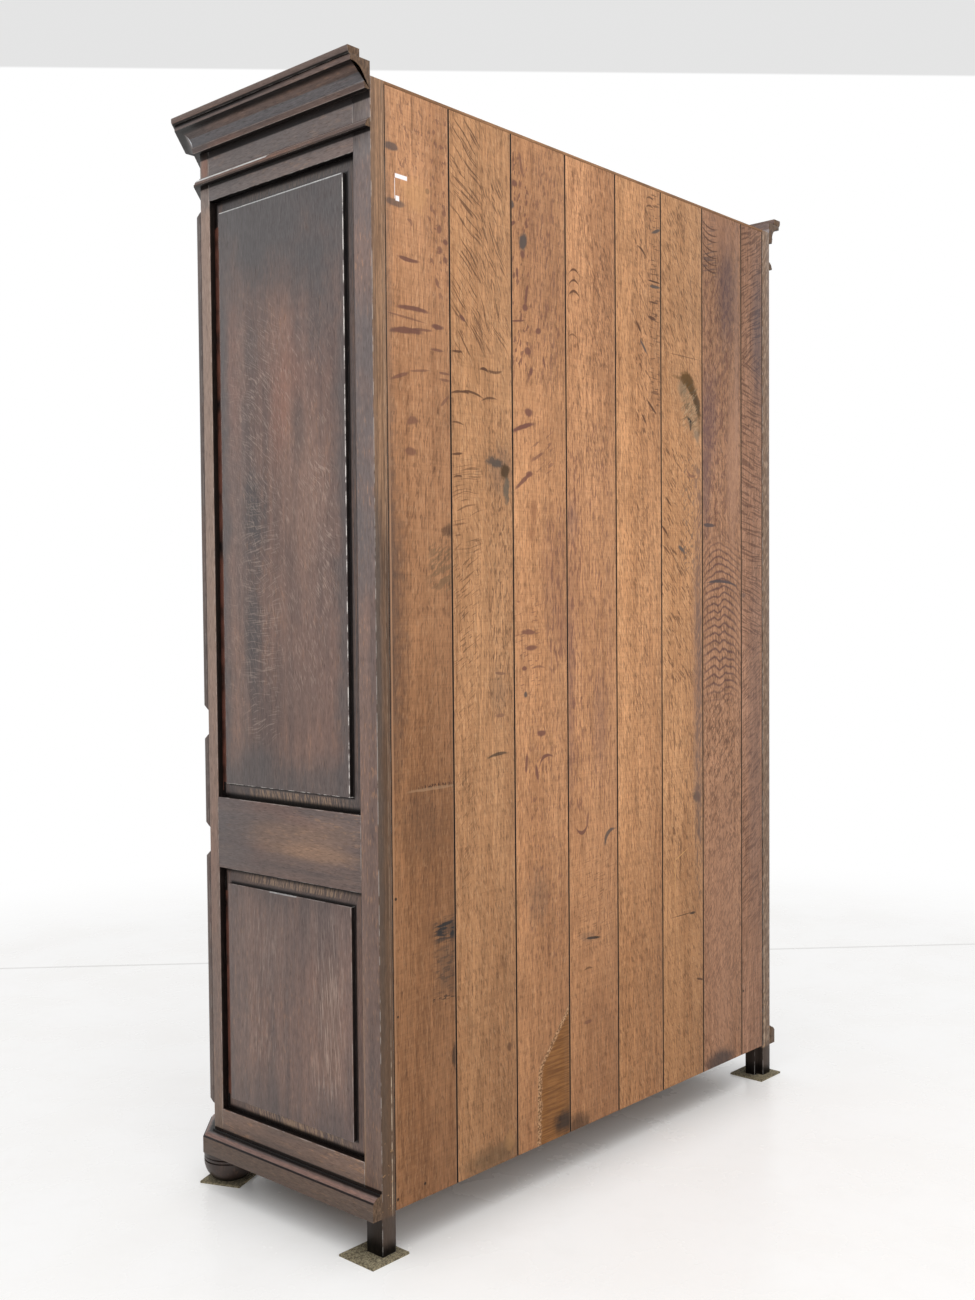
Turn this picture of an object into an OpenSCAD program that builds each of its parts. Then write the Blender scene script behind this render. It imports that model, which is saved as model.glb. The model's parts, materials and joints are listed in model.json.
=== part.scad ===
// Two-door oak wardrobe with canted front corners.
// Dark stained frame-and-panel sides and doors, a cove cornice, turned front
// feet, square rear legs and a plain back of vertical boards.
// X is the width, the front faces -Y, Z is up from the floor.

/* [Carcass] */
// Width over the two sides, without mouldings
carcass_w = 1340; // [1160:10:1560]
// Depth from the front rails to the back boards
carcass_d = 558; // [500:2:680]
// Height of the carcass top above the floor
carcass_h = 2100; // [1960:10:2260]
// Thickness of posts, rails and the centre stile
frame_t = 32; // [28:0.5:36]
// How far each front corner is cut back along the front and the side
corner_cut = 64; // [50:1:80]
// Flat of the front posts beside the cut corner
post_flat = 27; // [22:0.5:34]
// Width of the stile that stands between the doors
centre_stile_w = 60; // [54:1:80]
// Thickness of the loose boards at top, bottom and shelf
board_t = 18; // [14:0.5:22]

/* [Rails of the sides] */
// Height of the underside of the carcass above the floor
base_z = 75; // [60:1:90]
// Width of the bottom rail
side_bottom_rail_w = 91.5; // [80:0.5:110]
// Height of the lower edge of the middle rail above the floor
side_middle_rail_z = 658; // [560:1:760]
// Width of the middle rail
side_middle_rail_w = 141.5; // [110:0.5:170]
// Width of the top rail
side_top_rail_w = 121.5; // [110:0.5:140]

/* [Rear posts] */
// Width of the rear post across the back
rear_post_w = 48; // [44:0.5:56]
// Width of the rear post along the side
rear_post_d = 46; // [42:0.5:56]
// Width of the rear leg along the side, below the carcass
rear_leg_d = 42; // [36:0.5:42]

/* [Raised panels] */
// Width of the sloping border round the raised field
panel_border = 29; // [22:0.5:34]
// Depth of the frame's edge in front of the border
panel_sink = 16; // [14:0.5:17]
// Height of the step round the raised field
panel_step = 10; // [6:0.5:12]
// Thickness of the panel's tongue
tongue_t = 7.5; // [6:0.25:8]
// Depth of the panel's tongue in its groove
tongue_d = 8; // [6:0.5:10]

/* [Back] */
// Thickness of the back boards
back_t = 15; // [12:0.5:18]
// Width of the rebate that takes the back boards
back_rebate = 15; // [12:0.5:18]
// Height of the lower ends of the back boards above the floor
back_z = 79; // [76:0.5:92]
// Thickness of the top board's lip over the back boards
back_lip = 6; // [5:0.25:8]
// Open joint between two back boards
back_joint = 1; // [0.6:0.1:2]
// Thickness of the tongue that joins one back board to the next
back_tongue_t = 5; // [4:0.5:6]
// Width of that tongue
back_tongue_w = 6; // [4:0.5:9]

/* [Mouldings] */
// Height of the cornice moulding, without its cap
cornice_h = 49; // [44:0.5:54]
// Height to which the cornice moulding stands above the carcass
cornice_stand = 24; // [20:0.5:26]
// Projection of the cornice moulding
cornice_out = 46; // [43:0.5:50]
// Radius of the cornice's cove
cove_r = 28.2; // [27:0.1:29.5]
// Height of the fillet under the cove
cornice_fillet_h = 11; // [9:0.5:13]
// Projection of the fillet under the cove
cornice_fillet_out = 15; // [14.5:0.1:17]
// Height of the cornice's cap
cap_h = 14; // [11:0.5:18]
// Projection of the cornice's cap
cap_out = 52; // [51:0.5:56]
// Width of the cornice's cap from its face to its inner edge
cap_w = 28; // [22:0.5:34]
// Distance from the carcass top down to the underside of the frieze moulding
frieze_drop = 89.5; // [76:0.5:110]
// Height of the frieze moulding
frieze_h = 17; // [14:0.5:22]
// Projection of the frieze moulding
frieze_out = 12.5; // [12:0.5:16]
// Radius of the frieze moulding's round
frieze_r = 11; // [9:0.5:11.5]
// Height of the plinth moulding
plinth_h = 46; // [42:0.5:54]
// Projection of the plinth moulding
plinth_out = 22.5; // [20:0.5:26]
// Height of the plinth's flat face
plinth_face_h = 33; // [30:0.5:34]
// Radius of the round above the plinth's face
plinth_r = 16; // [14:0.5:16.5]

/* [Corner blocks] */
// Thickness of the raised blocks on the cut corners
block_t = 10; // [8:0.5:13]
// Margin between a block and the edge of the cut corner
block_margin = 6; // [4:0.5:10]
// Width of the slope along a block's sides
block_bevel = 6; // [4:0.5:7]
// Length of the slope at a block's ends
block_ramp = 11; // [8:0.5:14]

/* [Doors] */
// Width of the door stiles
door_stile_w = 62; // [54:0.5:80]
// Height of the door's lower edge above the bottom rail
door_gap_low = 2; // [1.5:0.25:4]
// Gap between the door's upper edge and the rail above it
door_gap_top = 2.5; // [1.5:0.25:4]
// Gap between the door and the post that carries it
door_gap_hinge = 1; // [0.8:0.1:1.5]
// Gap between the door and the centre stile
door_gap_lock = 3; // [2.5:0.25:4]
// Height of the door's lower panel opening above the floor
door_panel_z = 168.5; // [162:0.5:182]
// Height of the lower panel opening
door_lower_panel_h = 519.5; // [440:0.5:560]
// Height of the middle panel opening
door_middle_panel_h = 191; // [150:0.5:230]
// Width of the rails above and below the middle panel
door_rail_w = 46; // [40:0.5:60]
// Width of the top rail of the door
door_top_rail_w = 40; // [36:0.5:48]

/* [Feet] */
// Largest radius of the front feet
foot_r = 53; // [48:0.5:58]
// Radius of the foot where it stands
foot_base_r = 31; // [26:0.5:36]
// Radius of the foot where it meets the carcass
foot_neck_r = 47; // [42:0.5:47.5]
// Distance of the foot's axis from the front and from the side
foot_inset = 49; // [46:0.5:52]
// Radius of the dowel on the foot
foot_dowel_r = 6; // [5:0.25:6.5]
// Length of the dowel on the foot
foot_dowel_l = 35; // [24:0.5:40]
// Thickness of the pads under the feet
pad_t = 4; // [3:0.25:6]
// Side of the square pads under the feet
pad_w = 90; // [84:1:100]
// How far the rear pads stand out behind the back
pad_overhang = 18; // [12:0.5:24]

/* [Interior] */
// Distance from the carcass top down to the top of the shelf
shelf_drop = 362; // [300:1:440]
// Height of the bearers that carry the shelf and the hanging rail
bearer_h = 80; // [66:1:100]
// Thickness of the bearers
bearer_t = 20; // [18:0.5:26]
// Radius of the hanging rail
rail_r = 14; // [12:0.5:16]
// Depth of the hanging rail's ends in the bearers
rail_seat = 12; // [8:0.5:14]

/* [Hinges and locks] */
// Length of one hinge knuckle
knuckle_l = 44; // [34:1:56]
// Radius of the hinge knuckles
knuckle_r = 6.5; // [6:0.25:6.5]
// Radius of the hinge pins
hinge_pin_r = 3; // [2.5:0.1:3.5]
// Thickness of the hinge leaves
leaf_t = 2; // [1.5:0.1:2.5]
// Depth of the hinge leaves behind the front
leaf_d = 25; // [20:0.5:28]
// Height of the key's axis above the lower edge of the upper panel
key_rise = 47; // [30:1:90]
// Radius of the key's shank
key_r = 3; // [2.5:0.1:3.5]
// Reach of the key's bit below its axis
bit_reach = 11; // [9:0.25:12]
// Throw of the lock's bolt
bolt_throw = 14; // [10:0.5:14.5]

/* [Hidden] */

// Finish colours
stain_colour = "#3b2a22";
back_colour = "#a9744a";
iron_colour = "#5b5550";
brass_colour = "#a9894a";
pad_colour = "#6a6350";

// Overrun that carries every cut through its face
cut = 2;
// Clearance of fixed pegs in their holes, and of the shelf at its ends
snug = 0.1;
// Clearance of a turning pin in its knuckle
run_gap = 0.08;
// Clearance of sliding and turning lock pieces
play = 0.5;
// Gap between the closed door and its stops
stop_gap = 0.5;
// Space left behind each tongue in its groove
groove_end = 1;
// Number of sides on turned work
fine = 72;
// Number of steps in the cove and in the small rounds of the mouldings
cove_steps = 14;
round_steps = 8;

// Frame of reference: the middle of the whole depth lies on Y = 0
overall_d = cap_out + carcass_d + pad_overhang;
back_y = overall_d / 2 - pad_overhang;
front_y = back_y - carcass_d;
half_w = carcass_w / 2;

// Outline of the carcass, from the right rear corner round the front
turn = 45;
outline = [
    [half_w, back_y],
    [half_w, front_y + corner_cut],
    [half_w - corner_cut, front_y],
    [corner_cut - half_w, front_y],
    [-half_w, front_y + corner_cut],
    [-half_w, back_y]
];
sides = len(outline) - 1;
function facing(i) = [cos(-turn * i), sin(-turn * i)];
function mitre(i) =
    i == 0 ? facing(0) :
    i == sides ? facing(sides - 1) :
    (facing(i - 1) + facing(i)) / (1 + facing(i - 1) * facing(i));
function rim(i, out) = outline[i] + out * mitre(i);
cant_w = corner_cut * sqrt(2);

// Openings of the sides and of the front
side_open_y = front_y + corner_cut + post_flat;
side_rear_y = back_y - rear_post_d;
side_open_w = side_rear_y - side_open_y;
doorway_x = half_w - corner_cut - post_flat;
frieze_z = carcass_h - frieze_drop;
doorway_z = base_z + plinth_h;
doorway_top = frieze_z - stop_gap * 2;
side_low_z = base_z + side_bottom_rail_w;
side_mid_top = side_middle_rail_z + side_middle_rail_w;
side_top_z = carcass_h - side_top_rail_w;
panel_t = panel_sink + tongue_t;
groove_d = tongue_d + groove_end;
back_x = half_w - rear_post_w + back_rebate;

// Doors
door_t = frame_t - stop_gap;
door_out_x = doorway_x - door_gap_hinge;
door_in_x = centre_stile_w / 2 + door_gap_lock;
door_z = doorway_z + door_gap_low;
door_top = doorway_top - door_gap_top;
door_panel_w = door_out_x - door_in_x - 2 * door_stile_w;
door_mid_low = door_panel_z + door_lower_panel_h;
door_mid_panel_z = door_mid_low + door_rail_w;
door_mid_top = door_mid_panel_z + door_middle_panel_h;
door_up_panel_z = door_mid_top + door_rail_w;
door_up_panel_top = door_top - door_top_rail_w;

// Back boards: where each joint lies, as a share of the width between the posts
back_joint_shares = [0, 0.1281, 0.2652, 0.3965, 0.529, 0.6608, 0.7901, 0.9226, 1];

// Hinges: three to a door, as shares of the door's height
hinge_shares = [0.1, 0.5, 0.9];
hinge_x = doorway_x - door_gap_hinge / 2;
hinge_y = front_y - knuckle_r - stop_gap;
finial_r = knuckle_r * 0.8;

// Locks, on the inner face of the lock stiles
case_wall = 2;
case_w = 56;
case_h = 74;
case_d = 14;
case_x = door_in_x + case_wall;
case_y = front_y + door_t;
key_z = door_up_panel_z + key_rise;
case_low = key_z - case_h * 0.42;
key_x = case_x + case_w / 2;
bolt_t = 6;
bolt_h = 14;
bolt_y = case_y + case_wall * 2;
bolt_z = key_z + bit_reach + 2 * play;
bolt_l = case_w - bolt_throw - case_wall * 2;
keeper_wall = 2;
keeper_w = bolt_throw + keeper_wall * 3;
keeper_foot = keeper_wall * 4;
keeper_gap = play * 2;
plate_t = 2;
plate_r = 13;
plate_h = 50;
keyhole_r = key_r + play;
keyhole_slot_w = 4;
bit_t = 3;
bit_w = 7;
bow_r = 13;
bow_wire = 5;
bow_t = 4;
key_front = 24;

// Floor pads: inset of each pad's middle from the side, and its turn
rear_pad_in_right = 4;
rear_pad_in_left = 25;
front_pad_turn_right = 23;
front_pad_turn_left = -9;

// Raised panel that faces -Y, its front at Y = 0, with tongues all round.
// Two slabs of one section cross, so the slopes mitre at the corners.
module panel_section(w) {
    polygon([
        [-w / 2 - tongue_d, panel_t],
        [-w / 2 - tongue_d, panel_sink],
        [-w / 2, panel_sink],
        [panel_border - w / 2, panel_step],
        [panel_border - w / 2, 0],
        [w / 2 - panel_border, 0],
        [w / 2 - panel_border, panel_step],
        [w / 2, panel_sink],
        [w / 2 + tongue_d, panel_sink],
        [w / 2 + tongue_d, panel_t]
    ]);
}

module raised_panel(w, h) {
    intersection() {
        translate([0, 0, -h / 2 - tongue_d])
            linear_extrude(h + 2 * tongue_d) panel_section(w);
        rotate([0, 90, 0])
            translate([0, 0, -w / 2 - tongue_d])
                linear_extrude(w + 2 * tongue_d) panel_section(h);
    }
}

// Board on its edge in a frame: a rail along X with stub tongues at its ends
// and grooves in the edges that meet a panel
module rail(l, w, t, groove_low, groove_top) {
    difference() {
        union() {
            translate([-l / 2, 0, 0]) cube([l, t, w]);
            translate([-l / 2 - tongue_d, panel_sink, 0])
                cube([l + 2 * tongue_d, tongue_t, w]);
        }
        if (groove_low)
            translate([-l / 2 - tongue_d - cut, panel_sink, -cut])
                cube([l + 2 * tongue_d + 2 * cut, tongue_t, groove_d + cut]);
        if (groove_top)
            translate([-l / 2 - tongue_d - cut, panel_sink, w - groove_d])
                cube([l + 2 * tongue_d + 2 * cut, tongue_t, groove_d + cut]);
    }
}

// A shape drawn facing -Y, turned to lie in the right side
module in_side() {
    translate([half_w, (side_open_y + side_rear_y) / 2, 0])
        rotate([0, 0, 90]) children();
}

module left_of() { mirror([1, 0, 0]) children(); }

module both_sides() {
    children();
    left_of() children();
}

// A section carried along the outline, with a mitre at every corner.
// In the section X points outward and Y points up, anticlockwise.
module moulding_run(section) {
    n = len(section);
    rings = [for (i = [0 : sides]) for (p = section) [rim(i, p.x).x, rim(i, p.x).y, p.y]];
    skin = [for (i = [0 : sides - 1]) for (j = [0 : n - 1])
        [i * n + j, (i + 1) * n + j, (i + 1) * n + (j + 1) % n, i * n + (j + 1) % n]];
    polyhedron(rings, concat(
        [[for (j = [0 : n - 1]) j]],
        skin,
        [[for (j = [n - 1 : -1 : 0]) sides * n + j]]
    ));
}

module front_post() {
    difference() {
        translate([0, 0, base_z])
            linear_extrude(carcass_h - base_z)
                polygon([
                    [half_w, side_open_y], rim(1, 0), rim(2, 0), [doorway_x, front_y],
                    [doorway_x, front_y + frame_t], rim(2, -frame_t), rim(1, -frame_t),
                    [half_w - frame_t, side_open_y]
                ]);
        // groove for the side panels and rails
        translate([half_w - panel_t, side_open_y - groove_d, base_z - cut])
            cube([tongue_t, groove_d + cut, carcass_h - base_z + 2 * cut]);
        // hole for the foot's dowel
        translate([half_w - foot_inset, front_y + foot_inset, base_z - cut])
            cylinder(r = foot_dowel_r + snug, h = foot_dowel_l + groove_end + cut, $fn = fine);
        // seats of the hinge leaves
        for (s = hinge_shares)
            translate([doorway_x - cut, front_y - cut, hinge_z(s) - knuckle_l])
                cube([leaf_t + cut, leaf_d + cut, knuckle_l]);
    }
}

function hinge_z(s) = door_z + s * (door_top - door_z);

module rear_post() {
    difference() {
        union() {
            translate([half_w - rear_post_w, side_rear_y, base_z])
                cube([rear_post_w, rear_post_d, carcass_h - base_z]);
            translate([half_w - rear_post_w, back_y - rear_leg_d, pad_t])
                cube([rear_post_w, rear_leg_d, base_z - pad_t]);
        }
        // rebate for the back boards
        translate([half_w - rear_post_w - cut, back_y - back_t, pad_t - cut])
            cube([back_rebate + cut, back_t + cut, carcass_h - pad_t + 2 * cut]);
        // groove for the side panels and rails
        translate([half_w - panel_t, side_rear_y - cut, base_z])
            cube([tongue_t, groove_d + cut, carcass_h - base_z + cut]);
    }
}

module side_rails() {
    in_side() {
        translate([0, 0, base_z])
            rail(side_open_w, side_bottom_rail_w, frame_t, false, true);
        translate([0, 0, side_middle_rail_z])
            rail(side_open_w, side_middle_rail_w, frame_t, true, true);
        translate([0, 0, side_top_z])
            rail(side_open_w, side_top_rail_w, frame_t, true, false);
    }
}

module side_panel(low, top) {
    in_side()
        translate([0, 0, (low + top) / 2]) raised_panel(side_open_w, top - low);
}

// Plan of a board that fills the carcass inside its frame
module inside_plan() {
    board_y = back_y - back_t;
    post_x = half_w - rear_post_w;
    polygon([
        [half_w - frame_t, side_rear_y], rim(1, -frame_t), rim(2, -frame_t),
        rim(3, -frame_t), rim(4, -frame_t), [frame_t - half_w, side_rear_y],
        [-post_x, side_rear_y], [-post_x, board_y], [post_x, board_y], [post_x, side_rear_y]
    ]);
}

module top_board() {
    board_y = back_y - back_t;
    post_x = half_w - rear_post_w;
    color(back_colour) {
        translate([0, 0, carcass_h - board_t]) linear_extrude(board_t) inside_plan();
        translate([-back_x, board_y, carcass_h - back_lip]) cube([2 * back_x, back_t, back_lip]);
        translate([-post_x, board_y - cut, carcass_h - back_lip])
            cube([2 * post_x, 2 * cut, back_lip]);
    }
}

module bottom_board() {
    color(back_colour)
        translate([0, 0, doorway_z]) linear_extrude(board_t) inside_plan();
}

module back_board(i) {
    x0 = back_x - 2 * back_x * back_joint_shares[i];
    x1 = back_x - 2 * back_x * back_joint_shares[i - 1];
    inset0 = i == len(back_joint_shares) - 1 ? 0 : back_joint / 2;
    inset1 = i == 1 ? 0 : back_joint / 2;
    board_l = carcass_h - back_lip - back_z;
    groove_w = back_tongue_w - back_joint + play;
    groove_t = back_tongue_t + play;
    color(back_colour) difference() {
        union() {
            translate([x0 + inset0, back_y - back_t, back_z])
                cube([x1 - x0 - inset0 - inset1, back_t, board_l]);
            if (inset0 > 0)
                translate([x0 + inset0 - back_tongue_w, back_y - (back_t + back_tongue_t) / 2, back_z])
                    cube([back_tongue_w + cut, back_tongue_t, board_l]);
        }
        if (inset1 > 0)
            translate([x1 - inset1 - groove_w, back_y - (back_t + groove_t) / 2, back_z - cut])
                cube([groove_w + cut, groove_t, board_l + 2 * cut]);
    }
}

function arc(centre, r, from, to, steps) =
    [for (k = [0 : steps]) centre + r * [cos(from + (to - from) * k / steps),
                                         sin(from + (to - from) * k / steps)]];

// Cornice: a fillet, a cove and a square top edge
function cornice_section() =
    let (low = carcass_h + cornice_stand - cornice_h,
         spring = low + cornice_fillet_h,
         cove_end = 96,
         ledge = cornice_fillet_out * 0.9)
    concat(
        [[0, low], [cornice_fillet_out * 0.82, low], [cornice_fillet_out, spring]],
        arc([ledge + cove_r, spring], cove_r, 180, cove_end, cove_steps),
        [[cornice_out, spring + cove_r * sin(cove_end)], [cornice_out, low + cornice_h],
         [0, low + cornice_h]]
    );

function cap_section() =
    let (low = carcass_h + cornice_stand, lip = cap_out - cornice_out)
    [[cap_out - cap_w, low], [cornice_out + lip / 2, low], [cap_out - lip / 6, low + cap_h / 4],
     [cap_out, low + cap_h / 2], [cap_out, low + cap_h], [cap_out - cap_w, low + cap_h]];

// Frieze moulding: a square edge below, a round above
function frieze_section() =
    let (edge = frieze_z + frieze_h / 4, neck = frieze_out / 6)
    concat(
        [[0, frieze_z], [frieze_out, frieze_z], [frieze_out, edge]],
        arc([0, edge], frieze_r, 0, acos(neck / frieze_r), round_steps),
        [[neck, frieze_z + frieze_h], [0, frieze_z + frieze_h]]
    );

// Plinth: a flat face, a small ledge and a quarter round up to a narrow neck
function plinth_section() =
    let (shoulder = plinth_out - plinth_r,
         neck = shoulder * 0.62,
         rise = plinth_h - plinth_r * 1.22)
    concat(
        [[0, base_z], [plinth_out, base_z], [plinth_out, base_z + plinth_face_h]],
        arc([shoulder, base_z + rise], plinth_r, asin((plinth_face_h - rise) / plinth_r), 90,
            round_steps),
        [[neck, base_z + rise + plinth_r], [neck, base_z + plinth_h], [0, base_z + plinth_h]]
    );

// Raised block on the cut corner, sloped all round
module corner_block(low, top) {
    w = cant_w - 2 * block_margin;
    translate([outline[1].x, outline[1].y, 0])
        rotate([0, 0, -turn])
            translate([0, -cant_w / 2, 0])
                intersection() {
                    translate([0, 0, low])
                        linear_extrude(top - low)
                            polygon([
                                [0, -w / 2], [block_t - block_bevel, -w / 2],
                                [block_t, block_bevel - w / 2], [block_t, w / 2 - block_bevel],
                                [block_t - block_bevel, w / 2], [0, w / 2]
                            ]);
                    rotate([90, 0, 0])
                        translate([0, 0, -cant_w / 2])
                            linear_extrude(cant_w)
                                polygon([
                                    [0, low], [block_t, low + block_ramp],
                                    [block_t, top - block_ramp], [0, top]
                                ]);
                }
}

module corner_blocks() {
    color(stain_colour) {
        corner_block(door_panel_z, door_mid_low);
        corner_block(door_mid_panel_z, door_mid_top);
        corner_block(door_up_panel_z, door_up_panel_top);
    }
}

// Turned foot: a bowl below, a bead between two grooves, a cushion above
module front_foot() {
    stand = base_z - pad_t;
    bowl_z = stand * 0.57;
    bead_z = stand * 0.64;
    cushion_z = stand * 0.72;
    bead_r = stand * 0.05;
    drop = foot_r - foot_base_r;
    bowl_r = (bowl_z * bowl_z + drop * drop) / (2 * drop);
    rise = stand - cushion_z;
    draw_in = foot_r - foot_neck_r;
    cushion_r = (rise * rise + draw_in * draw_in) / (2 * draw_in);
    translate([half_w - foot_inset, front_y + foot_inset, pad_t]) {
        rotate_extrude($fn = fine) {
            intersection() {
                translate([foot_r - bowl_r, bowl_z]) circle(r = bowl_r, $fn = fine);
                square([foot_r, bowl_z]);
            }
            translate([0, bowl_z]) square([foot_r - bead_r, cushion_z - bowl_z]);
            intersection() {
                translate([foot_r - bead_r, bead_z]) circle(r = bead_r, $fn = fine);
                translate([0, bead_z - bead_r]) square([foot_r, 2 * bead_r]);
            }
            intersection() {
                translate([foot_r - cushion_r, cushion_z]) circle(r = cushion_r, $fn = 4 * fine);
                translate([0, cushion_z]) square([foot_r, rise]);
            }
        }
        translate([0, 0, stand - cut])
            cylinder(r = foot_dowel_r, h = foot_dowel_l + cut, $fn = fine);
    }
}

// Block glued in the corner of the frame above each front foot
module foot_block() {
    translate([0, 0, base_z])
        linear_extrude(plinth_h)
            polygon([
                [half_w - frame_t, side_open_y], rim(1, -frame_t), rim(2, -frame_t),
                [doorway_x, front_y + frame_t], [doorway_x, side_open_y]
            ]);
}

module pad(x, y, a) {
    translate([x, y, 0])
        rotate([0, 0, a])
            translate([-pad_w / 2, -pad_w / 2, 0]) cube([pad_w, pad_w, pad_t]);
}

module floor_pads() {
    rear_y = back_y + pad_overhang - pad_w / 2;
    color(pad_colour) {
        pad(half_w - rear_pad_in_right, rear_y, 0);
        pad(rear_pad_in_left - half_w, rear_y, 0);
        pad(half_w - foot_inset, front_y + foot_inset, front_pad_turn_right);
        pad(foot_inset - half_w, front_y + foot_inset, front_pad_turn_left);
    }
}

// Shelf, notched round the rear posts
shelf_z = carcass_h - shelf_drop;
shelf_front_y = front_y + frame_t + corner_cut;
module shelf() {
    color(back_colour)
        translate([0, 0, shelf_z - board_t]) {
            translate([frame_t + snug - half_w, shelf_front_y, 0])
                cube([2 * (half_w - frame_t - snug), side_rear_y - shelf_front_y, board_t]);
            translate([rear_post_w - half_w, side_rear_y - cut, 0])
                cube([2 * (half_w - rear_post_w), rear_post_d - back_t + cut, board_t]);
        }
}

rail_z = shelf_z - board_t - bearer_h / 2;
rail_y = (shelf_front_y + side_rear_y) / 2;
bearer_x = half_w - frame_t - bearer_t;

module bearer() {
    difference() {
        translate([bearer_x, rim(1, -frame_t).y, shelf_z - board_t - bearer_h])
            cube([bearer_t, side_rear_y - rim(1, -frame_t).y, bearer_h]);
        translate([bearer_x - cut, rail_y, rail_z])
            rotate([0, 90, 0])
                cylinder(r = rail_r + snug, h = rail_seat + snug + cut, $fn = fine);
    }
}

module hanging_rail() {
    color(stain_colour)
        translate([-bearer_x - rail_seat, rail_y, rail_z])
            rotate([0, 90, 0])
                cylinder(r = rail_r, h = 2 * (bearer_x + rail_seat), $fn = fine);
}

// Turned end of a hinge knuckle, at the top of its axis
module finial() {
    rotate_extrude($fn = fine)
        intersection() {
            union() {
                square([finial_r * 0.7, finial_r * 0.5]);
                translate([0, finial_r * 1.2]) circle(r = finial_r, $fn = fine);
            }
            square([finial_r, finial_r * 2.2]);
        }
}

// Lower half of a lift-off hinge, with its pin, on the post
module hinge_pin_half(s) {
    translate([hinge_x, hinge_y, hinge_z(s)]) {
        translate([0, 0, -knuckle_l]) {
            cylinder(r = knuckle_r, h = knuckle_l, $fn = fine);
            rotate([180, 0, 0]) finial();
        }
        translate([0, 0, -cut]) cylinder(r = hinge_pin_r, h = knuckle_l * 0.8 + cut, $fn = fine);
        translate([doorway_x - hinge_x, 0, -knuckle_l])
            cube([leaf_t, front_y - hinge_y + leaf_d, knuckle_l]);
    }
}

// Upper half, bored for the pin, on the door
module hinge_bore_half(s) {
    translate([hinge_x, hinge_y, hinge_z(s) + stop_gap])
        difference() {
            union() {
                cylinder(r = knuckle_r, h = knuckle_l - stop_gap, $fn = fine);
                translate([0, 0, knuckle_l - stop_gap]) finial();
                translate([door_out_x - leaf_t - hinge_x, 0, 0])
                    cube([leaf_t, front_y - hinge_y + leaf_d, knuckle_l - stop_gap]);
            }
            translate([0, 0, -cut])
                cylinder(r = hinge_pin_r + run_gap, h = knuckle_l * 0.82 + cut, $fn = fine);
        }
}

// Keyhole through whatever carries it, at the key's axis, along Y
module keyhole() {
    rotate([-90, 0, 0]) translate([0, 0, -frame_t]) cylinder(r = keyhole_r, h = 3 * frame_t, $fn = fine);
    translate([-keyhole_slot_w / 2, -frame_t, -bit_reach - play])
        cube([keyhole_slot_w, 3 * frame_t, bit_reach + play]);
}

module door_stile(x, holes) {
    difference() {
        translate([x, front_y, door_z]) cube([door_stile_w, door_t, door_top - door_z]);
        if (holes) {
            // lock stile: groove on its outer edge, keyhole
            translate([x + door_stile_w - groove_d, front_y + panel_sink, door_z - cut])
                cube([groove_d + cut, tongue_t, door_top - door_z + 2 * cut]);
            translate([key_x, front_y, key_z]) keyhole();
        } else {
            // hinge stile: groove on its inner edge, seats of the leaves
            translate([x - cut, front_y + panel_sink, door_z - cut])
                cube([groove_d + cut, tongue_t, door_top - door_z + 2 * cut]);
            for (s = hinge_shares)
                translate([door_out_x - leaf_t, front_y - cut, hinge_z(s) + stop_gap])
                    cube([leaf_t + cut, leaf_d + cut, knuckle_l - stop_gap]);
        }
    }
}

module door_stiles() {
    door_stile(door_in_x, true);
    door_stile(door_out_x - door_stile_w, false);
}

module in_door() {
    translate([(door_in_x + door_out_x) / 2, front_y, 0]) children();
}

module door_rails() {
    in_door() {
        translate([0, 0, door_z])
            rail(door_panel_w, door_panel_z - door_z, door_t, false, true);
        translate([0, 0, door_mid_low]) rail(door_panel_w, door_rail_w, door_t, true, true);
        translate([0, 0, door_mid_top]) rail(door_panel_w, door_rail_w, door_t, true, true);
        translate([0, 0, door_up_panel_top])
            rail(door_panel_w, door_top_rail_w, door_t, true, false);
    }
}

module door_panel(low, top) {
    in_door() translate([0, 0, (low + top) / 2]) raised_panel(door_panel_w, top - low);
}

// Box of the lock, open towards the door, with a slot for the bolt
module lock_case() {
    difference() {
        translate([case_x, case_y, case_low]) cube([case_w, case_d, case_h]);
        translate([case_x + case_wall, case_y - cut, case_low + case_wall])
            cube([case_w - 2 * case_wall, case_d - case_wall + cut, case_h - 2 * case_wall]);
        translate([case_x - cut, bolt_y - play, bolt_z - play])
            cube([case_wall + 2 * cut, bolt_t + 2 * play, bolt_h + 2 * play]);
    }
}

module lock_bolt() {
    translate([case_x + play, bolt_y, bolt_z]) cube([bolt_l, bolt_t, bolt_h]);
}

// Keeper for the bolt: a bent plate behind the centre stile, with a foot, a post and a lip
module lock_keeper() {
    y0 = front_y + frame_t;
    post_x = centre_stile_w / 2 - keeper_w;
    lip_y = bolt_y + bolt_t + keeper_gap;
    translate([0, 0, bolt_z - keeper_wall]) {
        translate([post_x - keeper_foot, y0, 0])
            cube([keeper_foot, keeper_wall, bolt_h + 2 * keeper_wall]);
        translate([post_x - keeper_wall, y0, 0])
            cube([keeper_wall, lip_y + keeper_wall - y0, bolt_h + 2 * keeper_wall]);
        translate([post_x - keeper_wall, lip_y, 0])
            cube([keeper_w, keeper_wall, bolt_h + 2 * keeper_wall]);
    }
}

// Shield round the keyhole, with round ends
module escutcheon() {
    straight = plate_h / 2 - plate_r;
    difference() {
        translate([key_x, front_y, key_z - bit_reach / 2])
            rotate([90, 0, 0])
                linear_extrude(plate_t) {
                    translate([0, straight]) circle(r = plate_r, $fn = fine);
                    translate([0, -straight]) circle(r = plate_r, $fn = fine);
                    translate([-plate_r, -straight]) square([2 * plate_r, 2 * straight]);
                }
        translate([key_x, front_y, key_z]) keyhole();
    }
}

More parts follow.
